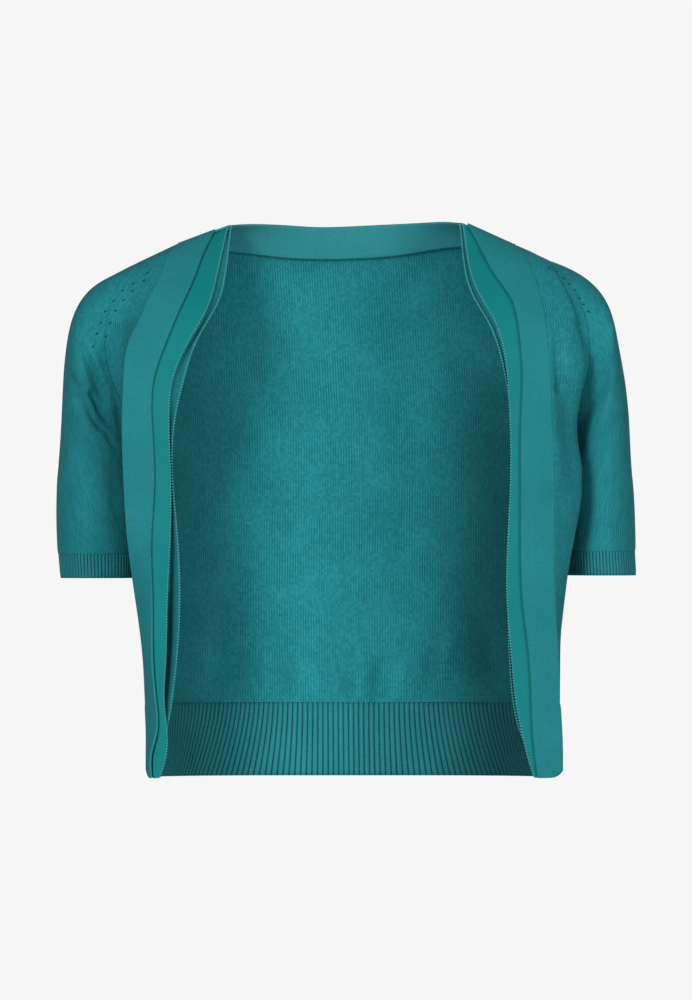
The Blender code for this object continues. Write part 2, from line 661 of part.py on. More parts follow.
def build_cuff(side, sign):
    # a ribbed cuff, from just under the sleeve's seam to its open end
    first = ring(CUFFS[side][0], np.linspace(0.0, 2 * np.pi, LENGTH_STEPS))
    steps = even_columns(run_length(first)[-1], CUFF_RIB_PITCH)
    angles = np.linspace(0.0, 2 * np.pi, steps, endpoint=False)
    points = np.array([ring(row, angles) for row in CUFFS[side]])
    points[0, :, 2] -= SEAM_GAP
    direction = square_to(outward(points, closed=True, sign=sign), 2)
    rib_piece("cuff_rib_" + side, points, direction, RIB_KNIT, closed=True)


for old in list(bpy.data.objects):
    bpy.data.objects.remove(old, do_unlink=True)
build_body()
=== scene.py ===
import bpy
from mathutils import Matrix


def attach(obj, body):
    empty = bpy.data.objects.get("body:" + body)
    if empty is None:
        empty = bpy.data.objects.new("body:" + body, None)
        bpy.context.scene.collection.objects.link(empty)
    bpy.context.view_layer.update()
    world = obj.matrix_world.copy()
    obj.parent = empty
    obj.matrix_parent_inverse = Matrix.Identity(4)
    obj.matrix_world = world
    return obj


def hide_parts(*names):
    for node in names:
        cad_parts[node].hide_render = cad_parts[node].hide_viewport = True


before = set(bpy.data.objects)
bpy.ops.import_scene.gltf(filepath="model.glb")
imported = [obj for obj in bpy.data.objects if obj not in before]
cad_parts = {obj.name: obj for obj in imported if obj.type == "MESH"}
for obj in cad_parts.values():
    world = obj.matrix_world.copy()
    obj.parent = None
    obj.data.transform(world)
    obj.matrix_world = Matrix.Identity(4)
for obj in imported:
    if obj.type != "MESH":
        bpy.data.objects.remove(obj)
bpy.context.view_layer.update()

# A short-sleeved open bolero in fine teal knit, filled out as if worn.
# Sizes are millimetres until a piece becomes a mesh. +Z is up, the open front faces -Y,
# and right and left are the wearer's, so right lies at -X.
import bpy
import numpy as np
from mathutils import Vector

mm = 0.001
sides = ("right", "left")

# how finely the cloth is divided
grid = {"lowerRows": 110, "upperRows": 90, "hemRows": 14, "frontColumns": 40, "neckColumns": 100,
        "sleeveRows": 130, "cuffRows": 8, "bandColumns": 20, "facingColumns": 20, "innerColumns": 26,
        "neckRows": 10, "ribColumns": 8, "measured": 80}


def spline(keys, values, at):
    # natural cubic curve through values at keys: each stretch is the straight line between its two
    # values plus a cubic arch of the bends at its ends. A two-way at pairs with the values' second axis
    keys, values, at = (np.asarray(part, float) for part in (keys, values, at))
    count = len(keys)
    gap = np.diff(keys)
    rise = np.diff(values, axis=0).T / gap
    inner = np.arange(1, count - 1)
    system = np.eye(count)
    system[inner, inner - 1] = gap[:-1]
    system[inner, inner] = 2 * (gap[:-1] + gap[1:])
    system[inner, inner + 1] = gap[1:]
    load = np.zeros(values.shape)
    load[1:-1] = 6 * (rise.T[1:] - rise.T[:-1])
    bend = np.linalg.solve(system, load.reshape(count, -1)).reshape(values.shape)
    i = np.clip(np.searchsorted(keys, at, side="right") - 1, 0, count - 2)
    if at.ndim == 2:
        pick, after = (i, np.arange(values.shape[1])), (i + 1, np.arange(values.shape[1]))
    else:
        pick, after = i, i + 1
    shape = at.shape + (1,) * (values.ndim - at.ndim if at.ndim == 2 else values.ndim - 1)
    width = gap[i].reshape(shape)
    low = ((keys[i + 1] - at) / gap[i]).reshape(shape)
    high = 1 - low
    arch = (low ** 3 - low) * bend[pick] + (high ** 3 - high) * bend[after]
    return low * values[pick] + high * values[after] + arch * width ** 2 / 6


def runLength(points):
    # distance along a line of points, from its first point to each
    return np.concatenate([[0.0], np.cumsum(np.linalg.norm(np.diff(points, axis=0), axis=-1))])


def unit(vectors):
    return vectors / np.linalg.norm(vectors, axis=-1, keepdims=True).clip(1e-9)


def smoothStep(share):
    share = np.clip(share, 0.0, 1.0)
    return share * share * (3 - 2 * share)


def columnsOf(names, rows):
    values = np.array(rows)
    return {name: values[:, place] for place, name in enumerate(names)}


# the body's own form
body = {
    "hem": -413.0, "ribTop": -358.0, "ribLap": 0.25, "armpit": -152.0,
    "levels": columnsOf(("z", "rightSide", "rightFlare", "leftSide", "leftFlare", "back"), [
        (-413.0, -143.0, -147.0, 150.0, 157.0, 80.0),
        (-362.0, -144.0, -147.5, 150.0, 157.5, 80.5),
        (-350.0, -145.0, -148.5, 151.0, 158.5, 83.5),
        (-310.0, -147.0, -150.5, 153.0, 160.0, 86.0),
        (-264.0, -149.0, -153.5, 155.0, 165.0, 88.0),
        (-200.0, -150.0, -157.0, 157.0, 176.0, 89.0),
        (-152.0, -150.0, -158.0, 157.0, 180.0, 89.0),
    ]),
    "flareDepth": {"right": -45.0, "left": -60.0},
    "flareStart": -26.0, "flareShare": 0.15, "backCorner": 0.745,
    "neckDepth": 62.0, "neckEdgeDepth": 57.0, "neckDrop": 11.5, "neckDropShape": 0.8,
    "neckRise": columnsOf(("share", "rise"), [
        (0.0, 2.6), (0.06, 3.6), (0.14, 3.8), (0.25, 3.0), (0.37, 1.7), (0.5, 2.0), (0.62, 3.0), (0.73, 3.9),
        (0.84, 4.8), (0.94, 5.1), (1.0, 4.0),
    ]),
    "neckSeamRise": columnsOf(("share", "rise"), [
        (0.0, 0.0), (0.14, 3.2), (0.32, 1.2), (0.5, 1.2), (0.68, 4.2), (0.85, 8.0), (0.93, 5.0), (1.0, 0.0),
    ]),
    "rounding": 0.65, "reach": 0.34, "armpitReach": 0.2, "fullReach": 0.6,
    "corners": {"right": (-146.0, 4.0, 7.0, 4.0), "left": (141.0, 20.0, 6.0, 6.5)}, "cornerTop": -388.0,
}

# each front edge, from the hem up: its seam, the free edges of its three layers, how far the band's
# edge stands forward of the seam, and how much the layers climb towards their edges
bandColumns = ("z", "y", "seam", "edge", "facing", "inner", "forward", "slope")
bands = {
    "right": columnsOf(bandColumns, [
        (-413.0, -72.0, -150.0, -147.0, -139.5, -137.5, 19.0, 0.0),
        (-394.5, -72.0, -150.0, -147.0, -134.5, -133.5, 19.0, 0.0),
        (-379.0, -73.0, -150.0, -143.0, -134.0, -131.5, 19.0, 0.0),
        (-355.5, -74.0, -151.0, -143.5, -136.0, -129.0, 19.0, 0.0),
        (-325.5, -77.0, -152.5, -146.0, -135.0, -126.0, 17.0, 0.0),
        (-280.5, -81.0, -158.0, -146.0, -134.0, -124.0, 13.0, 0.0),
        (-235.5, -84.0, -164.0, -146.5, -132.0, -125.5, 9.0, 0.0),
        (-190.5, -85.0, -167.0, -144.0, -131.5, -129.0, 5.0, 0.0),
        (-141.0, -85.0, -168.0, -146.0, -133.0, -127.5, 4.0, 0.0),
        (-115.5, -82.0, -167.0, -144.5, -130.5, -122.0, 3.0, 0.0),
        (-89.0, -75.0, -163.6, -136.0, -120.0, -114.0, 3.0, 0.0),
        (-69.0, -65.5, -154.8, -128.0, -109.0, -104.0, 2.5, 0.0),
        (-55.5, -56.5, -149.0, -122.0, -103.0, -97.0, 2.0, 0.0),
        (-37.0, -40.0, -140.0, -114.0, -98.0, -92.0, 1.0, 0.0),
        (-19.5, -20.0, -133.0, -107.0, -94.0, -89.5, 0.5, 0.05),
        (-12.0, 0.0, -125.0, -99.0, -90.0, -88.0, 0.0, 0.28),
    ]),
    "left": columnsOf(bandColumns, [
        (-413.0, -78.0, 161.0, 143.0, 139.5, 137.5, 7.0, 0.0),
        (-394.5, -79.0, 161.0, 140.5, 134.0, 133.0, 7.0, 0.0),
        (-379.0, -80.0, 160.5, 139.0, 130.5, 128.0, 6.0, 0.0),
        (-355.5, -81.0, 159.0, 138.0, 126.0, 123.0, 5.0, 0.0),
        (-325.5, -82.0, 158.0, 136.5, 123.0, 120.5, 4.0, 0.0),
        (-280.5, -84.0, 155.5, 131.5, 119.5, 118.5, 4.0, 0.0),
        (-235.5, -85.0, 154.5, 130.0, 120.0, 119.0, 4.0, 0.0),
        (-190.5, -85.0, 155.0, 130.0, 122.0, 121.0, 4.0, 0.0),
        (-141.0, -85.0, 152.8, 130.5, 121.5, 120.5, 4.0, 0.0),
        (-115.5, -82.0, 152.2, 131.5, 120.0, 118.0, 3.0, 0.0),
        (-89.0, -75.0, 150.4, 130.0, 116.5, 112.5, 3.0, 0.0),
        (-69.0, -65.5, 148.2, 127.5, 110.0, 105.0, 2.5, 0.0),
        (-55.5, -56.5, 145.5, 123.6, 102.5, 97.5, 2.0, 0.0),
        (-37.0, -40.0, 140.0, 111.5, 94.0, 90.0, 1.0, 0.0),
        (-19.5, -20.0, 131.0, 101.0, 90.0, 87.0, 0.5, 0.06),
        (-13.0, 0.0, 124.5, 94.0, 87.5, 86.0, 0.0, 0.3),
    ]),
}

# each sleeve from armhole to cuff: outer line, underarm line, front and back swell, half depth
ringColumns = ("topX", "topZ", "underX", "underZ", "swell", "depth")
sleeves = {
    "right": [
        (-158.0, -28.0, -150.0, -152.0, -27.0, 46.0),
        (-175.5, -37.0, -151.5, -156.0, -27.0, 47.0),
        (-187.5, -44.0, -153.0, -160.0, -26.0, 48.0),
        (-200.0, -59.0, -154.0, -167.0, -21.0, 48.0),
        (-207.0, -78.0, -155.0, -175.0, -16.0, 48.0),
        (-211.5, -104.0, -155.5, -185.0, -11.0, 47.0),
        (-214.5, -138.0, -156.0, -196.0, -7.0, 46.0),
        (-217.0, -179.0, -156.5, -211.0, -4.0, 45.0),
        (-218.0, -220.0, -157.0, -228.0, -2.5, 44.0),
        (-217.0, -246.0, -157.0, -246.0, -2.0, 43.0),
    ],
    "left": [
        (152.0, -26.0, 157.0, -152.0, 27.0, 46.0),
        (168.5, -33.0, 158.0, -156.0, 27.0, 47.0),
        (181.5, -42.0, 159.0, -160.0, 26.0, 48.0),
        (192.0, -56.5, 160.0, -167.0, 21.0, 48.0),
        (199.5, -78.0, 161.0, -175.0, 16.0, 48.0),
        (207.0, -110.0, 161.5, -185.0, 10.0, 47.0),
        (211.5, -140.0, 162.0, -196.0, 7.0, 46.0),
        (214.0, -180.0, 162.5, -211.0, 4.0, 45.0),
        (216.0, -218.0, 163.0, -228.0, 2.5, 44.0),
        (216.5, -244.0, 163.0, -244.0, 2.0, 43.0),
    ],
}
cuffs = {
    "right": [(-216.0, -245.75, -158.0, -245.75, -2.0, 42.0), (-214.5, -264.0, -158.5, -264.0, -2.0, 41.5)],
    "left": [(215.5, -243.75, 164.0, -243.75, 2.0, 42.0), (216.5, -262.0, 165.0, -262.0, 2.0, 41.5)],
}
armholeFullness = 1.5


def seamRows(side, lowerLevels, upperCount):
    # the band seam and all the band's columns: level by level up to the armpit, then evenly along
    # the seam to the shoulder. Columns: x, y, z, edge, facing, inner, forward, slope
    band = bands[side]
    table = np.stack([band[name] for name in ("seam", "y", "z") + bandColumns[3:]], axis=1)
    keys = runLength(table[:, :3])
    fine = np.linspace(0.0, keys[-1], 800)
    lower = np.interp(lowerLevels, spline(keys, table, fine)[:, 2], fine)
    if not upperCount:
        rows = spline(keys, table, lower)
    else:
        start = np.interp(body["armpit"], spline(keys, table, fine)[:, 2], fine)
        rows = spline(keys, table, np.append(lower, np.linspace(start, keys[-1], upperCount + 1)[1:]))
    rows[:len(lowerLevels), 2] = lowerLevels
    return rows


def bodySheet(levels, part, across):
    # level sections of the body: one smooth line through eleven named points at each height, read
    # between the side seams (back) or from a side seam to a band (front)
    table = body["levels"]
    here = {name: spline(table["z"], table[name], levels) for name in table}
    zero = np.zeros(len(levels))
    fronts = []
    for side in sides:
        seam = seamRows(side, levels, 0)
        edge, flare = here[side + "Side"], here[side + "Flare"]
        start = edge + body["flareShare"] * (flare - edge)
        fronts.append([seam[:, :2], np.stack([flare, zero + body["flareDepth"][side]], axis=1),
                       np.stack([start, zero + body["flareStart"]], axis=1), np.stack([edge, zero], axis=1)])
    middle = (here["rightSide"] + here["leftSide"]) / 2
    half = (here["leftSide"] - here["rightSide"]) / 2 * body["backCorner"]
    corner = here["back"] * body["backCorner"]
    back = [np.stack([middle - half, corner], axis=1), np.stack([middle, here["back"]], axis=1),
            np.stack([middle + half, corner], axis=1)]
    outline = np.array(fronts[0] + back + fronts[1][::-1])
    keys = runLength(outline.mean(axis=1))
    first, last = {"right": (0, 3), "back": (3, 7), "left": (7, 10)}[part]
    flat = spline(keys, outline, keys[first] + across * (keys[last] - keys[first]))
    height = np.broadcast_to(levels, flat.shape[:2])[..., None]
    return np.swapaxes(np.concatenate([flat, height], axis=-1), 0, 1)


def ringSheet(rows, angles):
    # sleeve rings: an ellipse from the outer to the underarm line, swollen front and back
    place = columnsOf(ringColumns, rows)
    topX, topZ, underX, underZ, swell, depth = (place[name][:, None] for name in ringColumns)
    turn, bow = np.cos(angles), np.abs(np.sin(angles)) ** armholeFullness
    x = (topX + underX) / 2 + (topX - underX) / 2 * turn + swell * bow
    z = (topZ + underZ) / 2 + (topZ - underZ) / 2 * turn
    return np.stack([x, -depth * np.sin(angles) + 0 * x, z], axis=-1)


def relaxed(points, weight, passes):
    # each inside point moves part of the way to the mean of its four neighbours, over and over
    points = points.copy()
    for _ in range(passes):
        mean = (points[:-2, 1:-1] + points[2:, 1:-1] + points[1:-1, :-2] + points[1:-1, 2:]) / 4
        points[1:-1, 1:-1] += weight[1:-1, 1:-1, None] * (mean - points[1:-1, 1:-1])
    return points


# the level sections and the patches above them are eased into each other round the armpit's height
armpitEase = {"weight": 0.5, "above": 4.0, "spread": {"front": 26.0, "back": 34.0},
              "passes": {"front": 240, "back": 320}}


def eased(points, part):
    height = points[..., 2] - body["armpit"] - armpitEase["above"]
    weight = armpitEase["weight"] * np.exp(-(height / armpitEase["spread"][part]) ** 2)
    return relaxed(points, weight, armpitEase["passes"][part])


lowerLevels = np.linspace(body["ribTop"], body["armpit"], grid["lowerRows"] + 1)
hemLevels = np.linspace(body["hem"], body["ribTop"] + body["ribLap"], grid["hemRows"] + 1)


def frontSheet(side):
    # a front panel: level sections below the armpit, then a patch stretched between the band seam,
    # the armhole and the shoulder seam (the sum of its two rulings less the corners' own)
    share = np.linspace(0.0, 1.0, grid["frontColumns"] + 1)
    lower = bodySheet(lowerLevels, side, share)
    if side == "left":
        lower = lower[:, ::-1]
    seam = seamRows(side, lowerLevels, grid["upperRows"])[grid["lowerRows"]:, :3]
    armhole = ringSheet(sleeves[side][:1], np.linspace(np.pi, 0.0, grid["upperRows"] + 1))[0]
    share = share[None, :, None]
    height = np.linspace(0.0, 1.0, grid["upperRows"] + 1)[:, None, None]
    shoulder = seam[-1] + share * (armhole[-1] - seam[-1])
    ruled = seam[:, None] + share * (armhole - seam)[:, None]
    raised = lower[-1:] + height * (shoulder - lower[-1:])
    corners = (1 - height) * (seam[0] + share * (armhole[0] - seam[0])) + height * shoulder
    points = np.concatenate([lower, (ruled + raised - corners)[1:]])
    return eased(points, "front")


def neckLines():
    # the back neck's seam and free edge: level shares of the way across, bowed back as half an ellipse
    right, left = (seamRows(side, lowerLevels[-1:], 4)[-1] for side in sides)
    turn = np.linspace(0.0, np.pi, grid["neckColumns"] + 1)
    share, bow = (1 - np.cos(turn)) / 2, np.sin(turn).clip(0)
    seam = np.stack([right[0] + share * (left[0] - right[0]), body["neckDepth"] * bow,
                     right[2] + share * (left[2] - right[2])
                     - body["neckDrop"] * bow ** body["neckDropShape"]
                     + spline(body["neckSeamRise"]["share"], body["neckSeamRise"]["rise"], share)], axis=1)
    ends = [row[2] + row[7] * abs(row[5] - row[0]) for row in (right, left)]
    rise = spline(body["neckRise"]["share"], body["neckRise"]["rise"], share)
    edge = np.stack([right[5] + share * (left[5] - right[5]), body["neckEdgeDepth"] * bow,
                     ends[0] + share * (ends[1] - ends[0]) + rise], axis=1)
    return seam, edge


def backSheet():
    # the back: level sections to the armpit, then ruled up to the shoulders and the neck seam,
    # rounded by its fullness and drawn to each armhole over a reach that widens upwards
    steps = 2 * grid["frontColumns"] + grid["neckColumns"]
    lower = bodySheet(lowerLevels, "back", np.linspace(0.0, 1.0, steps + 1))
    angles = np.linspace(-np.pi, 0.0, grid["upperRows"] + 1)
    rightHole, leftHole = (ringSheet(sleeves[side][:1], angles)[0] for side in sides)
    neck = neckLines()[0]
    share = np.linspace(0.0, 1.0, grid["frontColumns"] + 1)[:, None]
    top = np.concatenate([(rightHole[-1] + share * (neck[0] - rightHole[-1]))[:-1], neck,
                          (neck[-1] + share * (leftHole[-1] - neck[-1]))[1:]])
    height = ((1 + np.cos(angles)) / 2)[:, None, None]
    upper = lower[-1] + height * (top - lower[-1])
    fullness = (1 - height ** 2).clip(0) ** body["rounding"]
    upper[..., 1:2] = top[:, 1:2] + fullness * (lower[-1][:, 1:2] - top[:, 1:2])
    across = np.linspace(0.0, 1.0, steps + 1)[None, :, None]
    widening = smoothStep(height / body["fullReach"])
    reach = body["reach"] * (body["armpitReach"] + (1 - body["armpitReach"]) * widening)
    pullRight = (1 - across / reach).clip(0) ** 2
    pullLeft = (1 - (1 - across) / reach).clip(0) ** 2
    drawn = upper + pullRight * (rightHole[:, None] - upper[:, :1])
    drawn = drawn + pullLeft * (leftHole[:, None] - upper[:, -1:])
    points = np.concatenate([lower, drawn[1:]])
    return eased(points, "back")


def sleeveSheet(side):
    # a sleeve: the ring table read smoothly from armhole to cuff, columns from the underarm line
    # round the front, over the outer line and down the back
    table = np.array(sleeves[side])
    keys = (runLength(table[:, :2]) + runLength(table[:, 2:4])) / 2
    rows = spline(keys, table, np.linspace(0.0, keys[-1], grid["sleeveRows"] + 1))
    angles = np.pi - np.linspace(0.0, 2 * np.pi, 2 * grid["upperRows"], endpoint=False)
    return ringSheet(rows, angles)


def roundedCorner(points, side):
    # the lower front corner lifted in a curve towards the band seam: a power of the way across,
    # growing from nothing at cornerTop to all at the hem
    start, width, lift, shape = body["corners"][side]
    low = ((body["cornerTop"] - points[..., 2]) / (body["cornerTop"] - body["hem"])).clip(0, 1)
    share = ((np.abs(points[..., 0]) - abs(start)) / width).clip(0, 1)
    points[..., 2] += lift * share ** shape * low
    return points


# the places across a band that its table gives, each one's share of the way forward, and how often
# the bends between them are softened
bandForm = {"places": (0.0, 0.5, 1.0, 2.0, 3.0), "forward": (0.0, 0.55, 1.0, 0.95, 0.85), "softened": 8}


def bandSheet(side, places):
    # the sheet that a front edge's three layers lie on: straight across between the seam (0), the
    # middle (0.5) and the free edges of band (1), facing (2) and inner strip (3), its bends softened
    levels = np.concatenate([hemLevels[:-1], lowerLevels])
    rows = seamRows(side, levels, grid["upperRows"])
    x = np.stack([rows[:, 0], (rows[:, 0] + rows[:, 3]) / 2, rows[:, 3], rows[:, 4], rows[:, 5]])
    y = rows[:, 1] - np.array(bandForm["forward"])[:, None] * rows[:, 6]
    z = rows[:, 2] + rows[:, 7] * np.abs(x - rows[:, 0])
    knots = np.stack([x, y, z], axis=-1)
    stops = np.array(bandForm["places"])
    i = np.clip(np.searchsorted(stops, places, side="right") - 1, 0, len(stops) - 2)
    share = ((places - stops[i]) / (stops[i + 1] - stops[i]))[:, None, None]
    sheet = np.swapaxes((1 - share) * knots[i] + share * knots[i + 1], 0, 1)
    for _ in range(bandForm["softened"]):
        sheet[:, 1:-1] = (sheet[:, :-2] + 2 * sheet[:, 1:-1] + sheet[:, 2:]) / 4
    return roundedCorner(sheet, side)


# making cloth walls
def steps(points, closed):
    # the grid's directions along its rows and up its columns
    if closed:
        along = np.roll(points, -1, axis=1) - np.roll(points, 1, axis=1)
    else:
        along = np.gradient(points, axis=1)
    return along, np.gradient(points, axis=0)


def outward(points, inside, closed=False):
    # unit directions square to the grid, turned away from a point (or a line of points) inside
    along, up = steps(points, closed)
    direction = unit(np.cross(up, along))
    return direction * np.sign(np.sum(direction * (points - inside)))


leastMitre = 0.45  # a mitre's direction keeps at least this share along the wall's own
bandCorner = -0.6  # a front and its band are mitred up to a fold as sharp as this (a cosine)
hiddenGap = 0.02  # half the gap of a seam that nothing should show through
openGap = 0.12  # half the gap beside a band


def squareTo(direction, axis):
    # thickness directions for an edge cut square to an axis
    flat = direction.copy()
    flat[..., axis] = 0.0
    flat = unit(flat)
    return flat / np.sum(flat * direction, axis=-1, keepdims=True).clip(leastMitre)


def mitred(first, second, corner=0.1):
    # shared thickness directions where two pieces meet at an angle
    meets = np.sum(first * second, axis=-1, keepdims=True) > corner
    shared = unit(first + second + 1e-6)
    return [np.where(meets, shared / np.sum(shared * own, axis=-1, keepdims=True).clip(leastMitre), own)
            for own in (first, second)]


def drawBack(points, axis, end, gap=0.15):
    # an edge moved half the seam gap into its own piece
    edge, inside = [slice(None)] * 2, [slice(None)] * 2
    edge[axis], inside[axis] = (0, 1) if end == "first" else (-1, -2)
    points[tuple(edge)] += gap * unit(points[tuple(inside)] - points[tuple(edge)])


def sheetLengths(points, closed=False):
    # arc lengths along the rows (from their middle) and up the columns, as a pair of grids
    ring = np.concatenate([points, points[:, :1]], axis=1) if closed else points
    along = np.linalg.norm(np.diff(ring, axis=1), axis=-1)
    u = np.concatenate([np.zeros((len(ring), 1)), np.cumsum(along, axis=1)], axis=1)
    up = np.linalg.norm(np.diff(ring, axis=0), axis=-1)
    v = np.concatenate([np.zeros((1, ring.shape[1])), np.cumsum(up, axis=0)])
    return u - u[:, -1:] / 2, v


# how much a crease's distance counts along y, its depth at its ends as a share of the middle's, where its
# arch starts and how long it is, how far from a seam it fades, and its painted shade for each millimetre:
# darker in troughs, lighter on ridges
creaseForm = {"alongY": 0.35, "ends": 0.35, "archStart": 0.12, "archLength": 0.76, "fade": 5.0, "tone": 0.04}


def edgeDistance(u, v, edge):
    # how far each point lies from one edge of its sheet
    return {"low": v, "high": v[-1:] - v, "first": u - u[:, :1], "last": u[:, -1:] - u}[edge]


def creased(points, direction, creases, still=()):
    # soft creases: each row is a line x0 y0 z0 to x1 y1 z1, its half width and its depth (a ridge
    # if negative). A bell-shaped trough across the line, arched along it. Gives the points and how
    # far each one moved
    scale = np.array([1.0, creaseForm["alongY"], 1.0])
    away = np.zeros(points.shape[:2])
    for x0, y0, z0, x1, y1, z1, width, depth in creases:
        start, run = np.array([x0, y0, z0]) * scale, np.array([x1 - x0, y1 - y0, z1 - z0]) * scale
        offset = points * scale - start
        share = offset @ run / (run @ run)
        nearest = np.clip(share, 0.0, 1.0)
        distance = np.linalg.norm(offset - nearest[..., None] * run, axis=-1)
        arch = np.clip(creaseForm["archStart"] + creaseForm["archLength"] * share, 0, 1)
        taper = creaseForm["ends"] + (1 - creaseForm["ends"]) * np.sin(np.pi * arch)
        away -= depth * taper * np.exp(-(distance / width) ** 2)
    u, v = sheetLengths(points)
    for edge in still:
        away *= 1 - np.exp(-(edgeDistance(u, v, edge) / creaseForm["fade"]) ** 2)
    return points + away[..., None] * direction, away


seamDip = {"level": {"depth": 0.4}, "armhole": {"depth": 0.2, "width": 2.4}}


def dipped(points, direction, edges, depth=0.5, width=1.8):
    # the cloth dips a little where it is linked to the next piece
    u, v = sheetLengths(points)
    away = np.zeros(points.shape[:2])
    for edge in edges:
        away -= depth * np.exp(-(edgeDistance(u, v, edge) / width) ** 2)
    return points + away[..., None] * direction


# painted light and shade on the inside of the back: lighter in the middle and darker beside the front edges,
# where the fronts shade it
innerPaintedLightAndShade = {"middle": 0.22, "start": {"right": 55.0, "left": 40.0}, "width": 75.0,
             "least": {"right": 0.42, "left": 0.68}, "top": 0.62, "from": -60.0, "over": 150.0}


def paintedLightAndShadeInside(points):
    # the painted light and shade: painted light in the middle, falling in a smooth step to the deepest
    # painted shade beside each edge, by less near the shoulders
    x, z = points[..., 0], points[..., 2]
    fall = 0
    for side, sign in (("right", -1), ("left", 1)):
        past = (sign * x - innerPaintedLightAndShade["start"][side]) / innerPaintedLightAndShade["width"]
        fall = fall + innerPaintedLightAndShade["least"][side] * smoothStep(past)
    below = smoothStep((innerPaintedLightAndShade["from"] - z) / innerPaintedLightAndShade["over"])
    height = innerPaintedLightAndShade["top"] + (1 - innerPaintedLightAndShade["top"]) * below
    return innerPaintedLightAndShade["middle"] - fall * height * (1 + innerPaintedLightAndShade["middle"])


def placed(name, data):
    holder = bpy.data.objects.new(name, data)
    bpy.context.scene.collection.objects.link(holder)
    return holder


sharpAngle = 1.05  # in radians: where a wall's faces meet more sharply, the edge is rounded


def makeShell(name, outer, inner, uv, material, closed=False, uvInner=None, bevel=0.2, toned=False,
              moved=None):
    # a wall: its outer grid, its inner grid and the rims between, as one closed mesh with a UV map.
    # Painted shade darkens the creases' troughs and painted light lightens their ridges; the inside of the
    # back can carry its painted light and shade as well
    rows, columns = outer.shape[:2]
    across = columns + 1 if closed else columns
    corner = np.arange(2 * rows * across).reshape(2, rows, across)
    out, inn = corner

    def quads(*grids):
        return np.stack([part.ravel() for part in grids], axis=1)

    faces = [quads(out[:-1, :-1], out[:-1, 1:], out[1:, 1:], out[1:, :-1]),
             quads(inn[1:, :-1], inn[1:, 1:], inn[:-1, 1:], inn[:-1, :-1]),
             quads(out[0, 1:], out[0, :-1], inn[0, :-1], inn[0, 1:]),
             quads(out[-1, :-1], out[-1, 1:], inn[-1, 1:], inn[-1, :-1])]
    if not closed:
        faces += [quads(out[:-1, 0], out[1:, 0], inn[1:, 0], inn[:-1, 0]),
                  quads(out[1:, -1], out[:-1, -1], inn[:-1, -1], inn[1:, -1])]
    faces = np.concatenate(faces)
    along, up = steps(outer, closed)
    if np.sum(np.cross(up, along) * (outer - inner)) > 0:
        faces = faces[:, ::-1]
    layer, rest = np.divmod(faces, rows * across)
    row, column = np.divmod(rest, across)
    vertices = layer * rows * columns + row * columns + column % columns
    points = np.concatenate([outer.reshape(-1, 3), inner.reshape(-1, 3)]) * mm
    mesh = bpy.data.meshes.new(name)
    mesh.from_pydata(points.tolist(), [], vertices.tolist())
    cloth = mesh.uv_layers.new(name="cloth")
    lengths = np.stack(uv, axis=-1).reshape(-1, 2)
    lengthsInner = lengths if uvInner is None else np.stack(uvInner, axis=-1).reshape(-1, 2)
    cloth.data.foreach_set("uv", np.concatenate([lengths, lengthsInner])[faces.ravel()].ravel())
    if toned or moved is not None:
        # painted shade in the creases' troughs and painted light on their ridges, mirrored on the inside
        shade = creaseForm["tone"] * (0 * outer[..., 0] if moved is None else moved)
        within = (paintedLightAndShadeInside(inner) if toned else 0) - shade
        tone = mesh.attributes.new("tone", "FLOAT", "POINT")
        tone.data.foreach_set("value", np.concatenate([shade.ravel(), within.ravel()]))
    mesh.shade_smooth()
    mesh.materials.append(material)
    mesh.validate()
    piece = placed(name, mesh)
    if bevel:
        soft = piece.modifiers.new("softEdge", "BEVEL")
        soft.width, soft.segments, soft.limit_method = bevel * mm, 2, "ANGLE"
        soft.angle_limit, soft.loop_slide = sharpAngle, False
    return piece


def clothWall(name, points, direction, wall, lengths, material, **rest):
    # a wall of even thickness behind its outer grid
    uv = [part * mm for part in lengths]
    return makeShell(name, points, points - wall * direction, uv, material, **rest)


def finishPiece(piece, node):
    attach(piece, "root")
    if node:
        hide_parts(node)
    return piece


# yarns and finishes
def newNode(tree, kind, inputs, **settings):
    # one shader node: its properties, then its inputs as numbers, colours or other nodes' outputs
    node = tree.nodes.new(kind)
    for name, value in settings.items():
        setattr(node, name, value)
    for place, value in inputs.items():
        if isinstance(value, bpy.types.NodeSocket):
            tree.links.new(value, node.inputs[place])
        else:
            node.inputs[place].default_value = value
    return node


def calc(tree, operation, first, second=0.0, third=0.0):
    return newNode(tree, "ShaderNodeMath", {0: first, 1: second, 2: third}, operation=operation).outputs[0]


def noise(tree, vector, scale, detail=2.0, roughness=0.5):
    return newNode(tree, "ShaderNodeTexNoise", {"Vector": vector, "Scale": scale, "Detail": detail,
                                               "Roughness": roughness}).outputs[0]


def wave(tree, turns):
    # a sine that repeats at every whole number
    return calc(tree, "SINE", calc(tree, "MULTIPLY", turns, 2 * np.pi))


def fromMiddle(tree, count):
    # how far a count lies from the middle between two whole numbers
    return calc(tree, "ABSOLUTE", calc(tree, "SUBTRACT", calc(tree, "FRACT", count), 0.5))


def stitchWave(tree, v, leg, look):
    # slanting stitch legs: rows that drop towards the sides of each column
    drop = calc(tree, "MULTIPLY", leg, look["legDrop"])
    return wave(tree, calc(tree, "SUBTRACT", calc(tree, "DIVIDE", v, look["course"]), drop))


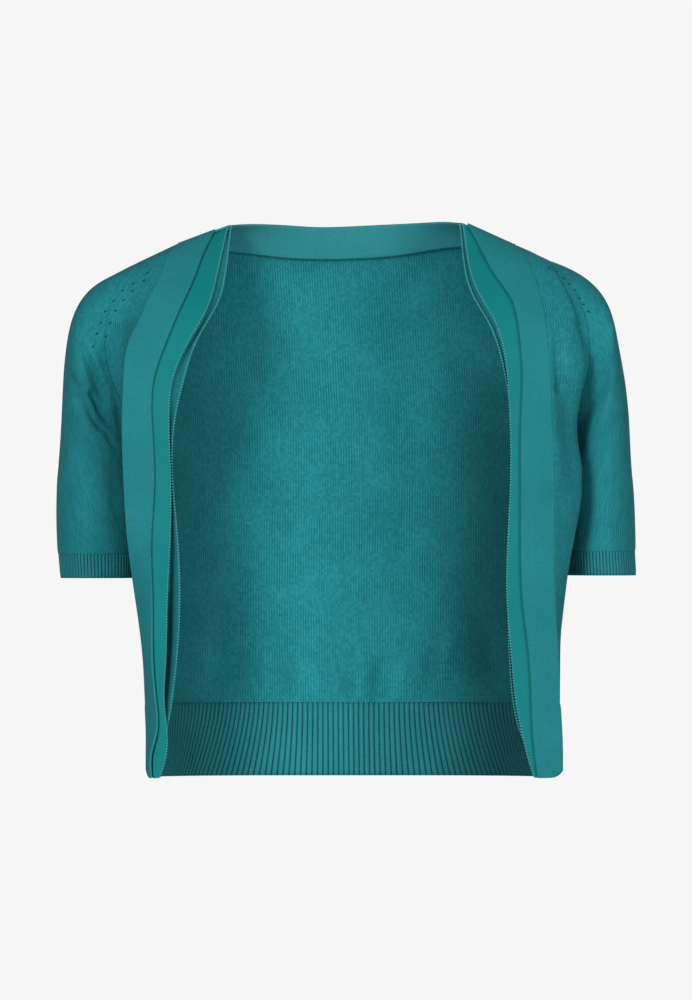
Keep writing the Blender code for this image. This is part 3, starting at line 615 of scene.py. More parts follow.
def clothMaterial(name, look):
    # a knit: stitch relief from the sheet's own lengths, and colour between a dark and a light end that
    # follows the relief, painted shade in its hollows, both broken up by soft noise that adds random tone
    material = bpy.data.materials.new(name)
    material.use_nodes = True
    tree = material.node_tree
    shader = tree.nodes["Principled BSDF"]
    uvMap = newNode(tree, "ShaderNodeUVMap", {}, uv_map="cloth").outputs[0]
    place = newNode(tree, "ShaderNodeTexCoord", {}).outputs["Object"]
    split = newNode(tree, "ShaderNodeSeparateXYZ", {0: uvMap})
    u, v = split.outputs[0], split.outputs[1]
    wander = calc(tree, "MULTIPLY", calc(tree, "SUBTRACT", noise(tree, place, look["wanderScale"]), 0.5),
                  look["wander"])
    u = calc(tree, "ADD", u, wander)
    wales = calc(tree, "DIVIDE", u, look["wale"])
    broad = noise(tree, place, look["broad"], 3.0)
    close = noise(tree, place, look["close"], 2.0, 0.65)
    if look["knit"] == "jersey":
        # a rounded column to each wale, crossed by slanting stitch legs
        leg = fromMiddle(tree, wales)
        ridge = calc(tree, "MULTIPLY", leg, 2 * np.pi)
        ridge = calc(tree, "MULTIPLY_ADD", calc(tree, "COSINE", ridge), 0.5, 0.5)
        stitch = stitchWave(tree, v, leg, look)
        crossed = calc(tree, "MULTIPLY_ADD", stitch, look["stitchShare"], 1 - look["stitchShare"])
        relief = calc(tree, "MULTIPLY", ridge, crossed)
        # the columns stand out more in some places than in others
        patch = calc(tree, "MULTIPLY_ADD", noise(tree, place, look["patch"], 1.0), look["patchGain"],
                     look["patchLow"])
        apart = calc(tree, "SUBTRACT", relief, look["patchLevel"])
        relief = calc(tree, "MULTIPLY_ADD", apart, patch, look["patchLevel"])
        # every stitch has a shade of its own
        courses = calc(tree, "DIVIDE", v, look["course"] * look["stitchCourses"])
        cell = newNode(tree, "ShaderNodeCombineXYZ",
                       {0: calc(tree, "FLOOR", wales), 1: calc(tree, "FLOOR", courses)})
        single = newNode(tree, "ShaderNodeTexWhiteNoise", {0: cell.outputs[0]}, noise_dimensions="2D")
        close = calc(tree, "MULTIPLY_ADD", single.outputs[0], look["singleShare"],
                     calc(tree, "MULTIPLY", close, 1 - look["singleShare"]))
    elif look["knit"] == "diagonal":
        # close slanting lines crossed by a finer set
        slant = calc(tree, "ADD", wales, calc(tree, "DIVIDE", v, look["course"]))
        cross = calc(tree, "SUBTRACT", wales, calc(tree, "DIVIDE", v, look["course"] * 0.5))
        relief = calc(tree, "MULTIPLY_ADD", wave(tree, slant), look["slantShare"], 0.5)
        relief = calc(tree, "ADD", relief, calc(tree, "MULTIPLY", wave(tree, cross), look["crossShare"]))
    elif look["knit"] == "rib":
        # stitches up each rib; the groove between two ribs lies at a whole number of u, and there the colour
        # goes to the dark end as painted shade
        leg = fromMiddle(tree, calc(tree, "MULTIPLY", u, look["ribWales"]))
        stitch = stitchWave(tree, v, leg, look)
        side = calc(tree, "MULTIPLY", calc(tree, "SUBTRACT", 0.5, fromMiddle(tree, u)), look["grooveSides"])
        groove = calc(tree, "SMOOTH_MIN", side, 1.0, look["grooveSoftness"])
        crossed = calc(tree, "MULTIPLY_ADD", stitch, look["stitchShare"], 1 - look["stitchShare"])
        relief = calc(tree, "MULTIPLY", groove, crossed)
    else:
        relief = noise(tree, uvMap, look["grain"], 1.0)
    # the relief sets the colour as well as the bump: its hollows are painted shade, and the noise adds random
    # tone
    level = 0.5 - look["reliefShade"] * look["reliefLevel"]
    shade = calc(tree, "MULTIPLY_ADD", relief, look["reliefShade"], level)
    shade = calc(tree, "MULTIPLY_ADD", calc(tree, "SUBTRACT", broad, 0.5), look["broadShade"], shade)
    shade = calc(tree, "MULTIPLY_ADD", calc(tree, "SUBTRACT", close, 0.5), look["closeShade"], shade)
    mix = newNode(tree, "ShaderNodeMix", {0: shade, 6: look["dark"], 7: look["light"]}, data_type="RGBA")
    # where a piece carries painted light and shade, its colour is scaled by one plus that
    tone = newNode(tree, "ShaderNodeAttribute", {}, attribute_name="tone").outputs["Fac"]
    toned = newNode(tree, "ShaderNodeVectorMath", {0: mix.outputs[2], "Scale": calc(tree, "ADD", tone, 1.0)},
                    operation="SCALE")
    tree.links.new(toned.outputs[0], shader.inputs["Base Color"])
    rough = calc(tree, "MULTIPLY_ADD", close, look["roughSpread"], look["rough"] - look["roughSpread"] / 2)
    tree.links.new(rough, shader.inputs["Roughness"])
    bump = newNode(tree, "ShaderNodeBump",
                   {"Strength": look["bump"], "Distance": look["relief"], "Height": relief})
    fuzz = newNode(tree, "ShaderNodeBump", {"Strength": look["fuzz"], "Distance": look["fuzzHeight"],
                                           "Height": close, "Normal": bump.outputs[0]})
    tree.links.new(fuzz.outputs[0], shader.inputs["Normal"])
    shader.inputs["Sheen Weight"].default_value = look["sheen"]
    shader.inputs["Sheen Roughness"].default_value = look["sheenRoughness"]
    shader.inputs["Sheen Tint"].default_value = look["sheenTint"]
    shader.inputs["Specular IOR Level"].default_value = look["specular"]
    return material


# lengths here are metres, as the UV map's are
# dark and light are the ends of each knit's colour; the way between follows the stitch relief (painted shade
# in its hollows) and random tone
bodyYarn = {"knit": "jersey", "wale": 0.0020, "course": 0.0016, "wander": 0.0004, "wanderScale": 70.0,
            "legDrop": 1.3, "stitchShare": 0.2, "stitchCourses": 1.5, "singleShare": 0.35,
            "patch": 50.0, "patchGain": 2.4, "patchLow": -0.6, "patchLevel": 0.45,
            "dark": (0.006, 0.124, 0.144, 1.0), "light": (0.024, 0.262, 0.292, 1.0),
            "broad": 22.0, "broadShade": 0.5, "close": 700.0, "closeShade": 0.85, "reliefShade": 0.75,
            "reliefLevel": 0.6, "rough": 0.88, "roughSpread": 0.12, "bump": 0.7, "relief": 0.0003,
            "fuzz": 0.35, "fuzzHeight": 0.0004, "sheen": 0.03, "sheenRoughness": 0.45,
            "sheenTint": (0.55, 0.9, 0.95, 1.0), "specular": 0.08, "grain": 900.0}
bandYarn = dict(bodyYarn, knit="diagonal", wale=0.0021, course=0.0021, wander=0.0003, slantShare=0.35,
                crossShare=0.15,
                dark=(0.006, 0.128, 0.144, 1.0), light=(0.022, 0.236, 0.258, 1.0), closeShade=0.6,
                reliefShade=0.55, bump=0.6)
# the neck band's yarn is the band's made lighter, as painted light on the neck band
neckYarnPaintedLight = dict(bandYarn, dark=(0.014, 0.165, 0.182, 1.0), light=(0.040, 0.290, 0.312, 1.0))
facingYarn = dict(bodyYarn, knit="smooth", wander=0.0, dark=(0.002, 0.135, 0.140, 1.0),
                  light=(0.004, 0.200, 0.204, 1.0), close=300.0, closeShade=0.3, reliefShade=0.1,
                  rough=0.65, bump=0.15, relief=0.0001, fuzz=0.1, sheen=0.02, specular=0.1)
# the rib's very dark end is painted shade in the grooves between ribs
ribYarnWithGrooveShade = dict(bodyYarn, knit="rib", course=0.0013, wander=0.0, dark=(0.003, 0.045, 0.055, 1.0),
               light=(0.022, 0.222, 0.246, 1.0), closeShade=0.5, reliefShade=0.9, ribWales=3.0,
               stitchShare=0.12, grooveSides=5.0, grooveSoftness=0.3)
# the edge stitches are lighter than the cloth: a painted highlight on their tops
edgeYarnPaintedHighlight = dict(bodyYarn, knit="smooth", dark=(0.050, 0.300, 0.320, 1.0), light=(0.120, 0.460, 0.475, 1.0),
                rough=0.75)
# the band's edge stitches are lighter too, a painted highlight
bandEdgeYarnPaintedHighlight = dict(edgeYarnPaintedHighlight, dark=(0.020, 0.230, 0.250, 1.0), light=(0.060, 0.360, 0.380, 1.0))
linkYarn = dict(edgeYarnPaintedHighlight, dark=(0.003, 0.085, 0.100, 1.0), light=(0.010, 0.170, 0.190, 1.0))
# the narrowing marks' holes are dark beads: painted shade standing for the holes
holeShade = dict(bodyYarn, knit="smooth", dark=(0.002, 0.050, 0.060, 1.0), light=(0.004, 0.075, 0.085, 1.0))

bodyKnit = clothMaterial("bodyKnit", bodyYarn)
bandKnit = clothMaterial("bandKnit", bandYarn)
neckKnitPaintedLight = clothMaterial("neckKnitPaintedLight", neckYarnPaintedLight)
smoothStrip = clothMaterial("smoothStrip", facingYarn)
ribKnit = clothMaterial("ribKnit", ribYarnWithGrooveShade)
edgeStitchPaintedHighlight = clothMaterial("edgeStitchPaintedHighlight", edgeYarnPaintedHighlight)
bandEdgeStitchPaintedHighlight = clothMaterial("bandEdgeStitchPaintedHighlight", bandEdgeYarnPaintedHighlight)
linkStitch = clothMaterial("linkStitch", linkYarn)
markHoleShade = clothMaterial("markHoleShade", holeShade)
print("finishes made")

# back, fronts, sleeves
backCloth = {
    "wall": 1.3,
    "cut": (0.402, 0.385), "area": 0.135,
    "creases": [
        (-84, 80, -352, -78, 82, -318, 9.0, -3.4), (-62, 83, -354, -60, 84, -322, 5.0, 2.4),
        (-47, 84, -354, -43, 85, -326, 5.5, -3.0), (-22, 85, -354, -27, 86, -332, 6.0, 2.2),
        (1, 86, -355, -1, 86, -336, 3.6, -2.8), (10, 86, -354, 12, 86, -322, 4.5, 2.2),
        (21, 86, -355, 25, 86, -326, 4.5, -3.0), (38, 84, -354, 43, 85, -326, 6.5, 2.6),
        (56, 83, -354, 66, 83, -322, 6.0, -3.2), (70, 82, -340, 78, 82, -306, 6.0, 2.6),
        (-109, 62, -345, -104, 66, -306, 8.0, 3.0), (-92, 74, -318, -80, 80, -262, 11.0, -2.4),
        (96, 70, -336, 86, 76, -268, 11.0, -3.0), (116, 56, -346, 112, 60, -300, 7.0, 2.4),
        (-92, 80, -230, -60, 86, -140, 16.0, 2.0), (88, 80, -220, 58, 86, -132, 16.0, 1.8),
        (-20, 89, -300, 14, 89, -240, 18.0, 1.6), (-118, 50, -120, -84, 78, -84, 10.0, 1.6),
        (120, 50, -118, 88, 76, -80, 10.0, 1.6), (-138, 30, -300, -141, 24, -210, 8.0, 1.8),
        (141, 30, -290, 145, 24, -206, 8.0, 2.0),
    ],
}
frontCloth = {
    "wall": 1.3,
    "cut": {"right": (0.088, 0.386), "left": (0.098, 0.384)}, "area": {"right": 0.0236, "left": 0.0258},
    "creases": {
        "right": [
            (-168, -66, -76, -170, -70, -140, 3.0, 2.6), (-156, -52, -196, -154, -40, -250, 8.0, 0.9),
            (-151, -40, -300, -150, -46, -346, 6.0, 0.9), (-156, -20, -162, -152, -12, -220, 7.0, 1.0),
            (-146, -30, -42, -160, -46, -78, 6.0, -0.8),
        ],
        "left": [
            (156.0, -76, -78, 158.5, -79, -124, 3.4, 5.0), (161, -72, -118, 170, -64, -192, 7.0, 3.6),
            (163, -66, -84, 165, -66, -118, 5.0, -1.0), (173, -58, -72, 174, -58, -92, 5.0, 1.8),
            (180, -52, -76, 181, -50, -124, 4.0, -1.6), (168, -56, -190, 163, -48, -262, 9.0, 0.9),
            (159, -50, -300, 158, -54, -346, 6.0, 0.9), (160, -20, -168, 156, -12, -226, 7.0, 1.0),
            (140, -30, -40, 154, -48, -74, 6.0, -0.7),
        ],
    },
}
sleeveCloth = {
    "wall": 1.3,
    "cut": {"right": (0.300, 0.240), "left": (0.300, 0.240)}, "area": {"right": 0.0402, "left": 0.0378},
    "creases": {
        "right": [
            (-202, -44, -128, -184, -44, -152, 2.8, 3.8), (-191, -46, -126, -174, -40, -152, 2.8, 4.2),
            (-197, -46, -92, -181, -44, -132, 4.0, 3.4), (-195, -47, -84, -176, -46, -128, 3.0, -2.2),
            (-206, -42, -112, -190, -44, -140, 3.0, 2.2), (-186, -46, -140, -172, -42, -168, 3.0, 2.4),
            (-169, -44, -128, -166, -44, -160, 4.5, 8.0),
            (-206, -40, -160, -180, -42, -168, 7.0, 1.3), (-176, -42, -176, -170, -40, -226, 6.0, 1.3),
            (-208, -34, -190, -200, -40, -236, 8.0, 0.8), (-184, -47, -70, -176, -45, -96, 5.0, 1.0),
            (-200, 44, -124, -178, 42, -150, 5.0, 2.4), (-196, 46, -92, -180, 44, -132, 6.0, 2.0),
            (-204, 40, -158, -178, 42, -170, 7.0, 1.5), (-178, 42, -180, -172, 40, -228, 7.0, 1.2),
            (-212, 10, -120, -216, -8, -180, 9.0, 1.1),
        ],
        "left": [
            (196, -46, -84, 190, -46, -132, 6.0, 1.5), (186, -46, -72, 183, -44, -128, 3.4, -1.1),
            (203, -40, -142, 184, -42, -172, 6.0, 1.7), (206, -38, -170, 190, -42, -198, 7.0, 1.1),
            (182, -42, -182, 176, -40, -232, 6.0, 1.2), (205, -36, -200, 200, -40, -238, 8.0, 0.7),
            (198, 44, -118, 182, 42, -148, 5.0, 2.2), (194, 46, -88, 186, 44, -128, 6.0, 1.7),
            (204, 40, -156, 182, 42, -174, 7.0, 1.5), (184, 42, -184, 176, 40, -230, 7.0, 1.2),
            (208, 10, -128, 212, -6, -186, 9.0, 1.0),
        ],
    },
}
bandCloth = {
    "wall": 1.8, "strip": 1.2, "gap": 1.1,
    # how far each layer's free edge is carried on at the shoulder (place, x, z), and over what length
    "carried": {"right": [(0.0, 0.0, 0.0), (1.0, -0.2, 2.5), (2.0, 0.2, 4.8), (3.0, 0.0, 7.6)],
                "left": [(0.0, 0.0, 0.0), (1.0, -3.2, 6.1), (2.0, 0.0, 6.6), (3.0, 0.0, 8.6)]},
    "carriedLength": 32.0, "carriedShape": 1.5,
    # where each strip is linked across the band, and where the inner strip's valley lies and how wide
    "root": {"facing": 0.18, "inner": 0.24}, "bow": (2.34, 0.40),
    "cut": {"front": (0.030, 0.447), "facing": (0.042, 0.446), "inner": (0.046, 0.443),
            "neck": (0.300, 0.028)},
    "area": {"frontright": 0.0098, "frontleft": 0.0107, "facingright": 0.0129, "facingleft": 0.0136,
             "innerright": 0.0145, "innerleft": 0.0137, "neck": 0.0080},
    "valley": columnsOf(("z", "right", "left"), [
        (-413.0, 0.4, 0.3), (-385.0, 3.0, 0.8), (-355.0, 10.0, 2.2), (-330.0, 14.0, 3.0), (-300.0, 15.0, 2.2),
        (-270.0, 11.0, 1.4), (-220.0, 6.0, 1.2), (-150.0, 4.0, 1.6), (-90.0, 4.5, 3.0), (-40.0, 2.4, 2.4),
        (-5.0, 0.2, 0.2),
    ]),
}


def carriedOn(sheet, side, places):
    # a front layer's shoulder end moved up and across by shares that grow smoothly towards the end
    place, x, z = np.array(bandCloth["carried"][side]).T
    lengths = sheetLengths(sheet)[1]
    grown = smoothStep(1 - (lengths[-1:] - lengths) / bandCloth["carriedLength"])
    grown = grown ** bandCloth["carriedShape"]
    sheet[..., 0] += grown * np.interp(places, place, x)
    sheet[..., 2] += grown * np.interp(places, place, z)
    return sheet


inside = np.array([0.0, 0.0, -200.0])
lowerCount, upperCount = grid["lowerRows"], grid["upperRows"]
backPoints = backSheet()
backOut = outward(backPoints, inside)
seamNeck, edgeNeck = neckLines()
neckShare = np.linspace(0.0, 1.0, grid["neckRows"] + 1)[:, None, None]
neckPoints = seamNeck + neckShare * (edgeNeck - seamNeck)
neckOut = outward(neckPoints, np.array([0.0, 0.0, -20.0]))
neckSpan = slice(grid["frontColumns"], grid["frontColumns"] + grid["neckColumns"] + 1)
backUv = sheetLengths(backPoints)
neckUv = sheetLengths(neckPoints)

allEdges = ("low", "high", "first", "last")
backPoints, backMoved = creased(backPoints, backOut, backCloth["creases"], allEdges)
backPoints = dipped(backPoints, backOut, allEdges)
backOut = outward(backPoints, inside)
backOut[-1, neckSpan], neckOut[0] = mitred(backOut[-1, neckSpan], neckOut[0])
for end in (0, -1):
    neckOut[:, end] = squareTo(neckOut[:, end], 1)
    backOut[:lowerCount + 1, end] = squareTo(backOut[:lowerCount + 1, end], 1)
for shoulder in (slice(0, grid["frontColumns"] + 1), slice(grid["frontColumns"] + grid["neckColumns"], None)):
    backOut[-1, shoulder] = squareTo(backOut[-1, shoulder], 1)
backOut[0] = squareTo(backOut[0], 2)

panels = {}
for side in sides:
    front = frontSheet(side)
    frontUv = sheetLengths(front)
    frontUv = (frontUv[0] - frontUv[0][:, :1], frontUv[1])
    sleeve = sleeveSheet(side)
    sleeveUv = sheetLengths(sleeve, closed=True)
    frontOut = outward(front, inside)
    sleeveMiddle = sleeve.mean(axis=1, keepdims=True)
    sleeveOut = outward(sleeve, sleeveMiddle, closed=True)
    front, frontMoved = creased(front, frontOut, frontCloth["creases"][side], allEdges)
    sleeve, sleeveMoved = creased(sleeve, sleeveOut, sleeveCloth["creases"][side], ("low", "high"))
    front = dipped(front, frontOut, ("high", "low"), **seamDip["level"])
    front = dipped(front, frontOut, ("last",), **seamDip["armhole"])
    sleeve = dipped(sleeve, sleeveOut, ("high",), **seamDip["level"])
    sleeve = dipped(sleeve, sleeveOut, ("low",), **seamDip["armhole"])
    frontOut = outward(front, inside)
    sleeveOut = outward(sleeve, sleeveMiddle, closed=True)
    bandPlaces = np.linspace(0.0, 1.0, grid["bandColumns"] + 1)
    band = carriedOn(bandSheet(side, bandPlaces), side, bandPlaces)
    bandOut = outward(band, inside)
    hemCount = grid["hemRows"]
    frontOut[:, 0], bandOut[hemCount:, 0] = mitred(frontOut[:, 0], bandOut[hemCount:, 0], bandCorner)
    bandOut[:hemCount, 0] = bandOut[hemCount, 0]
    hole = np.arange(upperCount + 1)
    frontOut[lowerCount:, -1], sleeveOut[0, hole] = mitred(frontOut[lowerCount:, -1], sleeveOut[0, hole])
    behind = (2 * upperCount - hole) % (2 * upperCount)
    column = 0 if side == "right" else -1
    backOut[lowerCount:, column], sleeveOut[0, behind] = mitred(backOut[lowerCount:, column],
                                                               unit(sleeveOut[0, behind]))
    frontOut[:lowerCount + 1, -1] = squareTo(frontOut[:lowerCount + 1, -1], 1)
    frontOut[-1] = squareTo(frontOut[-1], 1)
    frontOut[0] = squareTo(frontOut[0], 2)
    bandOut[-1] = squareTo(bandOut[-1], 1)
    sleeveOut[-1] = squareTo(sleeveOut[-1], 2)
    for cloth, axis, end, gap in (
            (front, 1, "first", openGap), (front, 1, "last", hiddenGap), (front, 0, "last", openGap),
            (band, 1, "first", openGap), (band, 0, "last", openGap), (sleeve, 0, "first", hiddenGap)):
        drawBack(cloth, axis, end, gap)
    panels[side] = {"front": front, "frontOut": frontOut, "sleeve": sleeve, "sleeveOut": sleeveOut,
                    "band": band, "bandOut": bandOut}

    tail = side.capitalize()
    piece = clothWall("frontPanel" + tail, front, frontOut, frontCloth["wall"], frontUv, bodyKnit,
                      moved=frontMoved)
    finishPiece(piece, "front_panel_" + side)
    piece = clothWall("sleeve" + tail, sleeve, sleeveOut, sleeveCloth["wall"], sleeveUv, bodyKnit,
                      closed=True, moved=sleeveMoved)
    finishPiece(piece, "sleeve_" + side)
    piece = clothWall("frontBand" + tail, band, bandOut, bandCloth["wall"], sheetLengths(band), bandKnit,
                      bevel=0.6)
    finishPiece(piece, "front_band_" + side)

    # the two strips behind the band, each on the band's sheet moved in
    depth = bandCloth["wall"] + bandCloth["gap"]
    strips = (("facing", "band_facing_", "smooth_strip", smoothStrip, 2.0),
              ("inner", "inner_band_", "band_knit", bandKnit, 3.0))
    for kind, node, slotName, finish, end in strips:
        places = np.linspace(bandCloth["root"][kind], end, grid[kind + "Columns"] + 1)
        strip = bandSheet(side, places)
        stripOut = outward(strip, inside)
        stripOut[-1] = squareTo(stripOut[-1], 1)
        drawBack(strip, 0, "last")
        strip = strip - depth * stripOut
        strip = carriedOn(strip, side, places)
        if kind == "inner":
            # the strip bends back into a valley beside the facing's edge
            valley = spline(bandCloth["valley"]["z"], bandCloth["valley"][side], strip[:, 0, 2])
            middle, width = bandCloth["bow"]
            bow = np.exp(-((places - middle) / width) ** 2)
            strip = strip - (valley[:, None] * bow)[..., None] * stripOut
        piece = clothWall(kind + "Strip" + tail, strip, stripOut, bandCloth["strip"], sheetLengths(strip),
                          finish, bevel=0.4)
        finishPiece(piece, node + side)
        panels[side][kind], panels[side][kind + "Out"] = strip, stripOut
        depth += bandCloth["strip"] + bandCloth["gap"]

for axis, end in ((1, "first"), (1, "last"), (0, "last")):
    drawBack(backPoints, axis, end, 2 * hiddenGap)
for axis, end in ((0, "first"), (1, "first"), (1, "last")):
    drawBack(neckPoints, axis, end)
# the back's inside carries painted light in the middle and painted shade beside the front edges
piece = clothWall("backPanel", backPoints, backOut, backCloth["wall"], backUv, bodyKnit, toned=True,
                  moved=backMoved)
finishPiece(piece, "back_panel")
# the neck band's lighter colour is painted light
piece = clothWall("neckBand", neckPoints, neckOut, bandCloth["wall"], neckUv, neckKnitPaintedLight, bevel=0.6)
finishPiece(piece, "neck_band")
print("panels, sleeves and bands made")

# ribbed hem and cuffs
ribCloth = {
    "pitch": {"hem": 3.7, "cuff": 3.3}, "wall": 1.6, "proud": 0.75, "sunk": 0.25, "fan": 2.8, "fanShape": 1.3,
    "start": 0.35, "grow": 4.0,
    "cut": {"back": (0.418, 0.055), "right": (0.080, 0.055), "left": (0.085, 0.055), "cuff": (0.225, 0.018)},
}


def ribHeight(phase):
    # a broad rounded rib between narrow grooves: one less the fourth power of the way to the groove
    return 1 - np.abs(2 * (phase - np.floor(phase)) - 1) ** 4


def ribPiece(name, points, direction, ribs, node, closed=False, toned=False):
    phase = np.linspace(0.0, ribs, points.shape[1] + (1 if closed else 0))
    around = phase[:-1] if closed else phase
    lengths = sheetLengths(points, closed)[1]
    # the ribs grow from the linked edge over a few millimetres
    down = (lengths[-1:] - lengths)[:, :points.shape[1]]
    grown = ribCloth["start"] + (1 - ribCloth["start"]) * smoothStep(down / ribCloth["grow"])
    rise = grown * (ribCloth["proud"] * ribHeight(around) - ribCloth["sunk"])
    sink = grown * (ribCloth["proud"] * ribHeight(around + 0.5) - ribCloth["sunk"])
    outer = points + rise[..., None] * direction
    inner = points - (ribCloth["wall"] + sink)[..., None] * direction
    v = lengths * mm
    u = np.broadcast_to(phase, v.shape)
    piece = makeShell(name, outer, inner, (u, v), ribKnit, closed=closed, uvInner=(u + 0.5, v), bevel=0,
                      toned=toned)
    return finishPiece(piece, node)


hemNodes = {"back": "back_hem_rib", "right": "front_hem_rib_right", "left": "front_hem_rib_left"}
for part, node in hemNodes.items():
    length = runLength(bodySheet(hemLevels[:1], part, np.linspace(0.0, 1.0, grid["measured"]))[0])[-1]
    ribs = int(round(length / ribCloth["pitch"]["hem"]))
    across = np.linspace(0.0, 1.0, ribs * grid["ribColumns"] + 1)
    if part == "back":
        # towards the hem the ribs fan out from the middle
        way = 2 * across - 1
        fan = ribCloth["fan"] * way ** 3 * (1 - np.abs(way)) ** 2
        down = ((hemLevels[-1] - hemLevels) / (hemLevels[-1] - hemLevels[0])) ** ribCloth["fanShape"]
        across = (1 + way[:, None] + fan[:, None] * down) / 2
    rib = bodySheet(hemLevels, part, across)
    if part != "back":
        rib = roundedCorner(rib, part)
    ribOut = squareTo(outward(rib, inside), 2)
    ribOut[:, 0] = panels["right"]["frontOut"][0, 0] if part == "right" else squareTo(ribOut[:, 0], 1)
    ribOut[:, -1] = panels["left"]["frontOut"][0, 0] if part == "left" else squareTo(ribOut[:, -1], 1)
    drawBack(rib, 1, "first", hiddenGap)
    drawBack(rib, 1, "last", hiddenGap)
    # the back hem rib's inside carries the same painted light and shade
    ribPiece("hemRib" + part.capitalize(), rib, ribOut, ribs, node,
             toned=part == "back")

for side in sides:
    first = ringSheet(cuffs[side][:1], np.linspace(0.0, 2 * np.pi, grid["measured"]))[0]
    ribs = int(round(runLength(first)[-1] / ribCloth["pitch"]["cuff"]))
    angles = np.pi - np.linspace(0.0, 2 * np.pi, ribs * grid["ribColumns"], endpoint=False)
    ends = np.array(cuffs[side])
    share = np.linspace(0.0, 1.0, grid["cuffRows"] + 1)[:, None]
    cuff = ringSheet(ends[0] + share * (ends[1] - ends[0]), angles)
    cuffOut = squareTo(outward(cuff, cuff.mean(axis=1, keepdims=True), closed=True), 2)
    ribPiece("cuff" + side.capitalize(), cuff, cuffOut, ribs, "cuff_rib_" + side,
             closed=True)
print("ribs made")

# stitches and marks
stitching = {
    "selvedge": {"pitch": 2.15, "size": (1.5, 1.35, 1.35), "lean": 0.7, "sunk": 0.4},
    "bandEdge": {"pitch": 2.15, "size": (1.3, 0.8, 0.8), "lean": 0.7, "sunk": 0.5},
    "linking": {"pitch": 1.7, "size": (1.5, 0.55, 0.5), "lean": 0.0, "sunk": 0.2, "sunkAtNeck": 0.1},
    "marks": {"size": (3.0, 1.2, 1.3), "lean": (0.75, 0.0, -0.65), "proud": 0.05, "mostSlide": 1.5,
              "leastFacing": 0.15},
}


def beadPiece(name, centres, long, up, size, material):
    # small rounded stitches: one ball of twenty points stretched along, across and out of the cloth
    # at each place, all placed at once
    count = 6
    ring = np.linspace(0.0, 2 * np.pi, count, endpoint=False)
    level = np.pi * np.array([0.25, 0.5, 0.75])[:, None]
    belt = np.stack([np.sin(level) * np.cos(ring), np.sin(level) * np.sin(ring), np.cos(level) + 0 * ring],
                    axis=-1)
    ball = np.concatenate([[[0.0, 0.0, 1.0]], belt.reshape(-1, 3), [[0.0, 0.0, -1.0]]])
    long = unit(long)
    across = unit(np.cross(up, long))
    axes = np.stack([long * size[0] / 2, across * size[1] / 2, np.cross(long, across) * size[2] / 2], axis=1)
    points = (centres[:, None] + np.einsum("kc,ncd->nkd", ball, axes)) * mm
    here = np.arange(count)
    after = (here + 1) % count
    first, last = 1, 1 + 2 * count
    bottom = last + count
    caps = [[0, first + a, first + b] for a, b in zip(here, after)]
    caps += [[bottom, last + b, last + a] for a, b in zip(here, after)]
    belts = [[row + a, row + count + a, row + count + b, row + b]
             for row in (first, first + count) for a, b in zip(here, after)]
    starts = len(ball) * np.arange(len(centres))[:, None, None]
    faces = (np.array(caps) + starts).reshape(-1, 3).tolist()
    faces += (np.array(belts) + starts).reshape(-1, 4).tolist()
    mesh = bpy.data.meshes.new(name)
    mesh.from_pydata(points.reshape(-1, 3).tolist(), [], faces)
    mesh.uv_layers.new(name="cloth")
    mesh.shade_smooth()
    mesh.materials.append(material)
    piece = placed(name, mesh)
    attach(piece, "root")
    return piece


def alongLine(points, directions, pitch):
    # places, run directions and outward directions at an even pitch along a line of points
    keys = runLength(points)
    at = np.arange(pitch / 2, keys[-1], pitch)

    def read(table):
        return np.stack([np.interp(at, keys, table[:, axis]) for axis in range(3)], axis=1)

    return read(points), read(unit(np.gradient(points, axis=0))), unit(read(directions))


def stitchLines(name, lines, kind, material):
    values = stitching[kind]
    parts = [alongLine(points, directions, values["pitch"]) for points, directions in lines]
    place, run, out = (np.concatenate([part[place] for part in parts]) for place in range(3))
    leaning = unit(run + values["lean"] * unit(np.cross(out, run)))
    piece = beadPiece(name, place, leaning, out, values["size"], material)
    return piece


# light beads along the free edges of the facing and inner strip; their lighter colour is a painted highlight
selvedges = []
for side in sides:
    for kind in ("facing", "inner"):
        strip, out = panels[side][kind], panels[side][kind + "Out"]
        selvedges.append((strip[:, -1] - stitching["selvedge"]["sunk"] * out[:, -1], out[:, -1]))
stitchLines("selvedgeStitches", selvedges, "selvedge", edgeStitchPaintedHighlight)
# beads along each band's free edge, lighter as a painted highlight
bandEdges = []
for side in sides:
    line, out = panels[side]["band"][:, -1], panels[side]["bandOut"][:, -1]
    bandEdges.append((line - stitching["bandEdge"]["sunk"] * out, out))
stitchLines("bandEdgeStitches", bandEdges, "bandEdge", bandEdgeStitchPaintedHighlight)

# the neck seam inside and outside, the side seams and the shoulder seams
line, out = backPoints[-1, neckSpan], backOut[-1, neckSpan]
sunk = stitching["linking"]["sunkAtNeck"]
seams = [(line - (backCloth["wall"] - sunk) * out, -out), (line - sunk * out, out)]
for side in sides:
    front, frontOut = panels[side]["front"], panels[side]["frontOut"]
    for line, out in ((front[:lowerCount + 1, -1], frontOut[:lowerCount + 1, -1]), (front[-1], frontOut[-1])):
        seams.append((line - stitching["linking"]["sunk"] * out, out))
stitchLines("linkingStitches", seams, "linking", linkStitch)

# the narrowing marks at the sleeve heads, as seen from the front (x, z), and the same behind
marks = {
    "right": [(-149.5, -35.5), (-159.8, -43.5), (-168.0, -49.0), (-174.5, -56.5), (-180.8, -64.5),
              (-184.0, -72.8), (-186.8, -81.0), (-190.0, -90.8), (-152.0, -41.5), (-160.5, -49.0),
              (-167.0, -56.0), (-173.0, -64.0), (-177.0, -73.0), (-180.0, -83.0)],
    "left": [(150.8, -32.3), (156.8, -34.5), (162.0, -39.8), (166.1, -43.9), (170.3, -48.8), (173.7, -54.5),
             (177.0, -59.3), (180.8, -64.5)],
}


